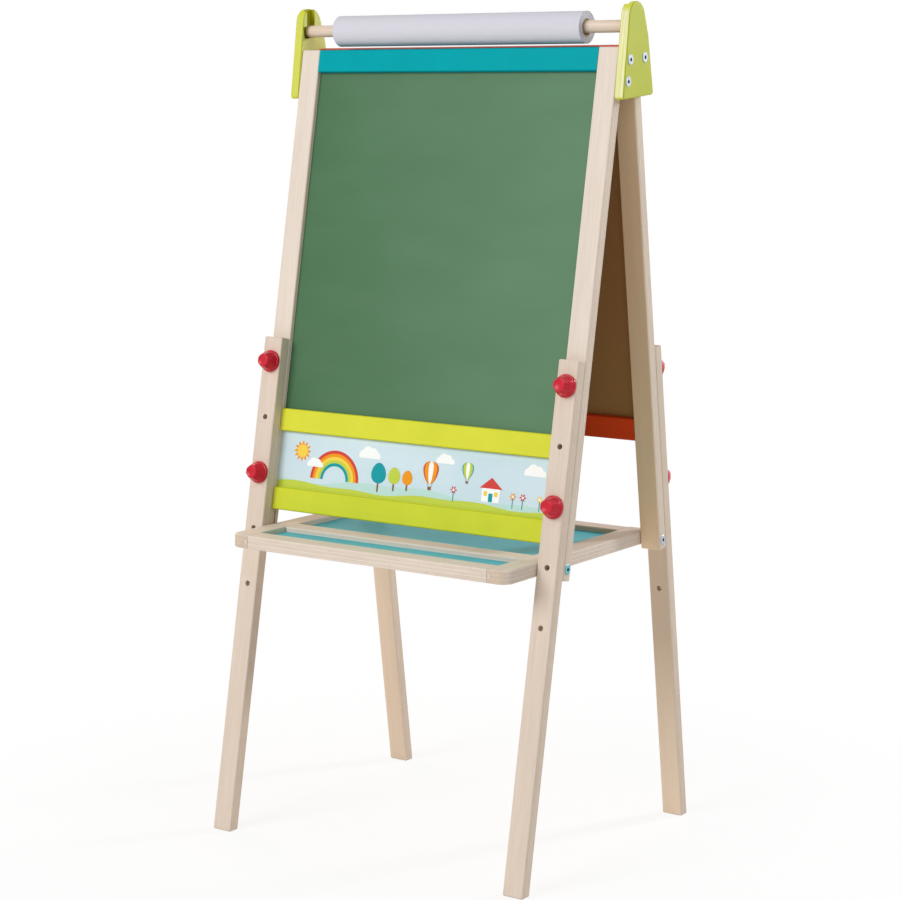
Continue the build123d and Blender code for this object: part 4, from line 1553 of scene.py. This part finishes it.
    def balloons(self) -> None:
        """Lays each balloon's gores, each between two meridians of a drop shape, and its basket."""
        rise = np.linspace(-1.0, 1.0, 24)
        drop = np.sqrt(np.maximum(1.0 - rise**2, 0.0)) * (0.86 + 0.22 * rise)
        for (x, y, size), half in self.balloons_at:
            inks = (*half, *half[-2::-1])
            high = y + size * np.where(rise < 0, 1.22 * rise, rise)
            edges = np.sin(np.linspace(-math.pi / 2, math.pi / 2, len(inks) + 1))
            meridians = x + size * edges[:, None] * drop
            sides = np.stack(np.broadcast_arrays(meridians, high), axis=-1)
            for count, ink in enumerate(inks):
                self.put(sides[count : count + 2], ink, 4)
            self.fan((x, y - size * 1.6), self.oval(size * 0.2, size * 0.17, 6.0), Ink.BARK, 4)
            for side in Side:
                top = (x + side.value * size * 0.3, y - size * 1.02)
                foot = (x + side.value * size * 0.17, y - size * 1.45)
                rope = np.array([top, foot])
                self.put(np.stack([rope, rope + (0.45, 0.0)]), Ink.BARK, 5)

    def house(self) -> None:
        """Lays a wall, a roof, a door and two windows."""
        x = self.house_x
        self.fan((x, -15.0), self.oval(13.0, 9.0, 14.0), Ink.WHITE, 4)
        roof = np.array([[-16.5, -4.0], [16.5, -4.0], [0.0, 9.5]])
        self.fan((x, -3.5), roof, Ink.RED, 5)
        self.fan((x, -18.5), self.oval(3.0, 5.2, 10.0), Ink.TEAL, 5)
        for side in Side:
            self.fan((x + side.value * 7.6, -14.0), self.oval(2.6, 2.8, 8.0), Ink.YELLOW, 5)

    def flowers(self) -> None:
        """Lays each flower's stem, petals of radius 3.4 + 1.5 cos 6a, and heart."""
        petals = self.polar(3.4 + 1.5 * np.cos(6 * once_round(self.around)))
        for x, ink in self.flowers_at:
            self.fan((x, -22.0), self.oval(0.6, 6.5, 6.0), Ink.TEAL, 4)
            self.fan((x, -14.0), petals, ink, 5)
            self.fan((x, -14.0), self.oval(1.6, 1.6), Ink.WHITE, 6)


def direction(azimuth: float, elevation: float) -> Vector:
    """Unit vector towards a place seen at an azimuth from -Y and an elevation, in degrees."""
    a, e = math.radians(azimuth), math.radians(elevation)
    return Vector((math.sin(a) * math.cos(e), -math.cos(a) * math.cos(e), math.sin(e)))


@dataclass(frozen=True)
class Softbox:
    """A square lamp that looks at a point on the easel's middle line.

    Attributes:
        name: the lamp's name.
        azimuth: its direction from the point, in degrees from -Y.
        elevation: its elevation from the point, in degrees.
        distance: its distance from the point, in millimetres.
        size: its side, in millimetres.
        power: its power in watts.
        aim: the point's height, in millimetres.
        colour: its light's colour.
    """

    name: str
    azimuth: float
    elevation: float
    distance: float
    size: float
    power: float
    aim: float
    colour: str = WHITE

    def hang(self) -> None:
        """Makes the lamp."""
        data = bpy.data.lights.new(self.name, "AREA")
        data.shape = "SQUARE"
        data.size = self.size / METRE
        data.energy = self.power
        data.color = linear(self.colour)[:3]
        lamp = bpy.data.objects.new(self.name, data)
        back = direction(self.azimuth, self.elevation)
        lamp.location = (Vector((0.0, 0.0, self.aim)) + back * self.distance) / METRE
        lamp.rotation_euler = back.to_track_quat("Z", "Y").to_euler()
        bpy.context.scene.collection.objects.link(lamp)


@dataclass
class Studio:
    """Camera, floor and lamps.

    The camera looks at a target from an azimuth and elevation, turned by a small roll and moved
    sideways, and its lens is a focal length in pixels of a 900 pixel frame.
    """

    target: Triple = (0.0, -3.7, 500.0)
    azimuth: float = 33.85
    elevation: float = 8.47
    roll: float = 0.42
    distance: float = 2871.1
    sideways: Pair = (5.76, 10.05)
    focal_pixels: float = 2256.92
    frame_pixels: float = 900.0
    sensor: float = 36.0
    view_metres: float = 100.0
    ambient: float = 0.33
    floor_colour: str = "#efefef"
    floor_roughness: float = 0.9
    floor_half: float = 12000.0
    fade_reach: Pair = (250.0, 800.0)
    fade_white: Pair = (0.84, 1.0)
    lamps: tuple[Softbox, ...] = (
        Softbox("key_softbox", -16.0, 28.0, 5500.0, 2400.0, 178.0, 600.0),
        Softbox("side_softbox", 95.0, 50.0, 2600.0, 1600.0, 11.0, 500.0),
        Softbox("rear_lamp", 150.0, 27.0, 2800.0, 320.0, 35.0, 450.0),
        Softbox("warm_card", -112.0, 12.0, 2300.0, 1200.0, 18.0, 700.0, "#ffd2a2"),
    )

    def build(self) -> None:
        """Makes the camera, the world, the floor and the lamps."""
        self.build_camera()
        self.build_world()
        self.build_floor()
        for lamp in self.lamps:
            lamp.hang()

    def build_camera(self) -> None:
        """Places the camera at the photograph's view."""
        back = direction(self.azimuth, self.elevation)
        right = direction(self.azimuth + 90.0, 0.0)
        up = back.cross(right)
        c, s = math.cos(math.radians(self.roll)), math.sin(math.radians(self.roll))
        right, up = c * right + s * up, c * up - s * right
        place = Vector(self.target) + back * self.distance
        place -= right * self.sideways[0] + up * self.sideways[1]
        data = bpy.data.cameras.new("camera")
        data.sensor_width = self.sensor
        data.lens = self.focal_pixels / self.frame_pixels * self.sensor
        data.clip_end = self.view_metres
        camera = bpy.data.objects.new("camera", data)
        bpy.context.scene.collection.objects.link(camera)
        turn = Matrix((right, up, back)).transposed()
        camera.matrix_world = Matrix.Translation(place / METRE) @ turn.to_4x4()
        bpy.context.scene.camera = camera

    @staticmethod
    def seen(tree: Tree) -> Socket:
        """Adds nodes that pick out rays that show a background: from the camera, gloss or glass.

        Args:
            tree: the world's or floor's node tree.

        Returns:
            The socket, 1 for such rays and 0 for others.
        """
        path = add_node(tree, "LightPath").node.outputs
        shown = path["Is Camera Ray"]
        for name in ("Is Glossy Ray", "Is Transmission Ray"):
            shown = add_node(tree, "Math", {0: shown, 1: path[name]}, operation="MAXIMUM")
        return shown

    def build_world(self) -> None:
        """Makes a world that is white where it is seen and softer where it lights."""
        world = bpy.data.worlds.new("studio")
        world.use_nodes = True
        tree = world.node_tree
        level = add_node(tree, "MapRange", {0: self.seen(tree), 3: self.ambient, 4: 1.0})
        plug(tree, tree.nodes["Background"], {"Color": WHITE, "Strength": level})
        bpy.context.scene.world = world

    def build_floor(self) -> None:
        """Makes a pale floor that keeps a soft shadow near the easel and fades to white around it."""
        material = bpy.data.materials.new("pale_studio_floor")
        material.use_nodes = True
        tree = material.node_tree
        node = partial(add_node, tree)
        shader = tree.nodes["Principled BSDF"]
        plug(tree, shader, {"Base Color": self.floor_colour, "Roughness": self.floor_roughness})
        far = node("VectorMath", {0: EASEL_AXES.coordinates(tree)}, "Value", operation="LENGTH")
        fade = node("MapRange", dict(enumerate((far, *self.fade_reach, *self.fade_white))))
        share = node("Math", {0: fade, 1: self.seen(tree)}, operation="MULTIPLY")
        white = node("Emission", {"Color": WHITE})
        mixed = node("MixShader", {0: share, 1: shader.outputs[0], 2: white})
        plug(tree, tree.nodes["Material Output"], {"Surface": mixed})
        ends = np.array([-self.floor_half, self.floor_half])
        x, y = np.meshgrid(ends, ends)
        work = Patchwork()
        work.add_grid(np.stack([x, y, 0.0 * x], axis=-1), (False, False), (0.0, 0.0, 1.0))
        floor = work.to_object("floor")
        floor.data.materials.append(material)


def main() -> None:
    """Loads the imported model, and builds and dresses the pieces."""
    logging.basicConfig(level=logging.INFO, format="%(name)s: %(message)s")
    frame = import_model()
    joints = frame["joints"]
    bpy.context.scene.view_settings.view_transform = "Standard"
    front = Frame("front", -1, 10.1)
    back = Frame("back", 1, 8.85)
    red = ("#dd4a22", "#e58467", "#c8401b")
    front_rails = {
        "front_top_rail": ("#009fa8", "#49b6bd", "#008d97"),
        "front_middle_rail": ("#dadb42", "#e0df7c", "#cccf2e"),
        "front_bottom_rail": ("#d2d93e", "#dade7c", "#c4cc2c"),
    }
    back_rails = {"back_top_rail": red, "back_bottom_rail": red}
    # The chalkboard's drift share is a painted sheen that lightens its coat towards +X.
    chalk = CoatedHardboard(
        "matt_chalkboard_paint", front.board_axes(), coat="#466d4b", wiped="#608566", painted_sheen_drift=0.75
    )
    print_ground = CoatedHardboard(
        "sealed_print_ground", front.board_axes(), coat="#cbe0e8", wiped="#d5e7ee", grit_height=0.03
    )
    white = CoatedHardboard(
        "white_melamine_board",
        back.board_axes(),
        sheen=0.3,
        coat="#e7e7e4",
        wiped="#e0e1df",
        coat_roughness=0.16,
        grit_height=0.02,
    )
    front.dress(front_rails, {"chalkboard_panel": chalk, "picture_panel": print_ground})
    back.dress(back_rails, {"whiteboard_panel": white})
    Brackets().dress()
    Tray().dress()
    Knobs().build(joints)
    Screws().build(front)
    PaperRoll().build(joints)
    PictureStrip(front.board_axes()).build()
    Studio().build()


if __name__ == "__main__":
    main()
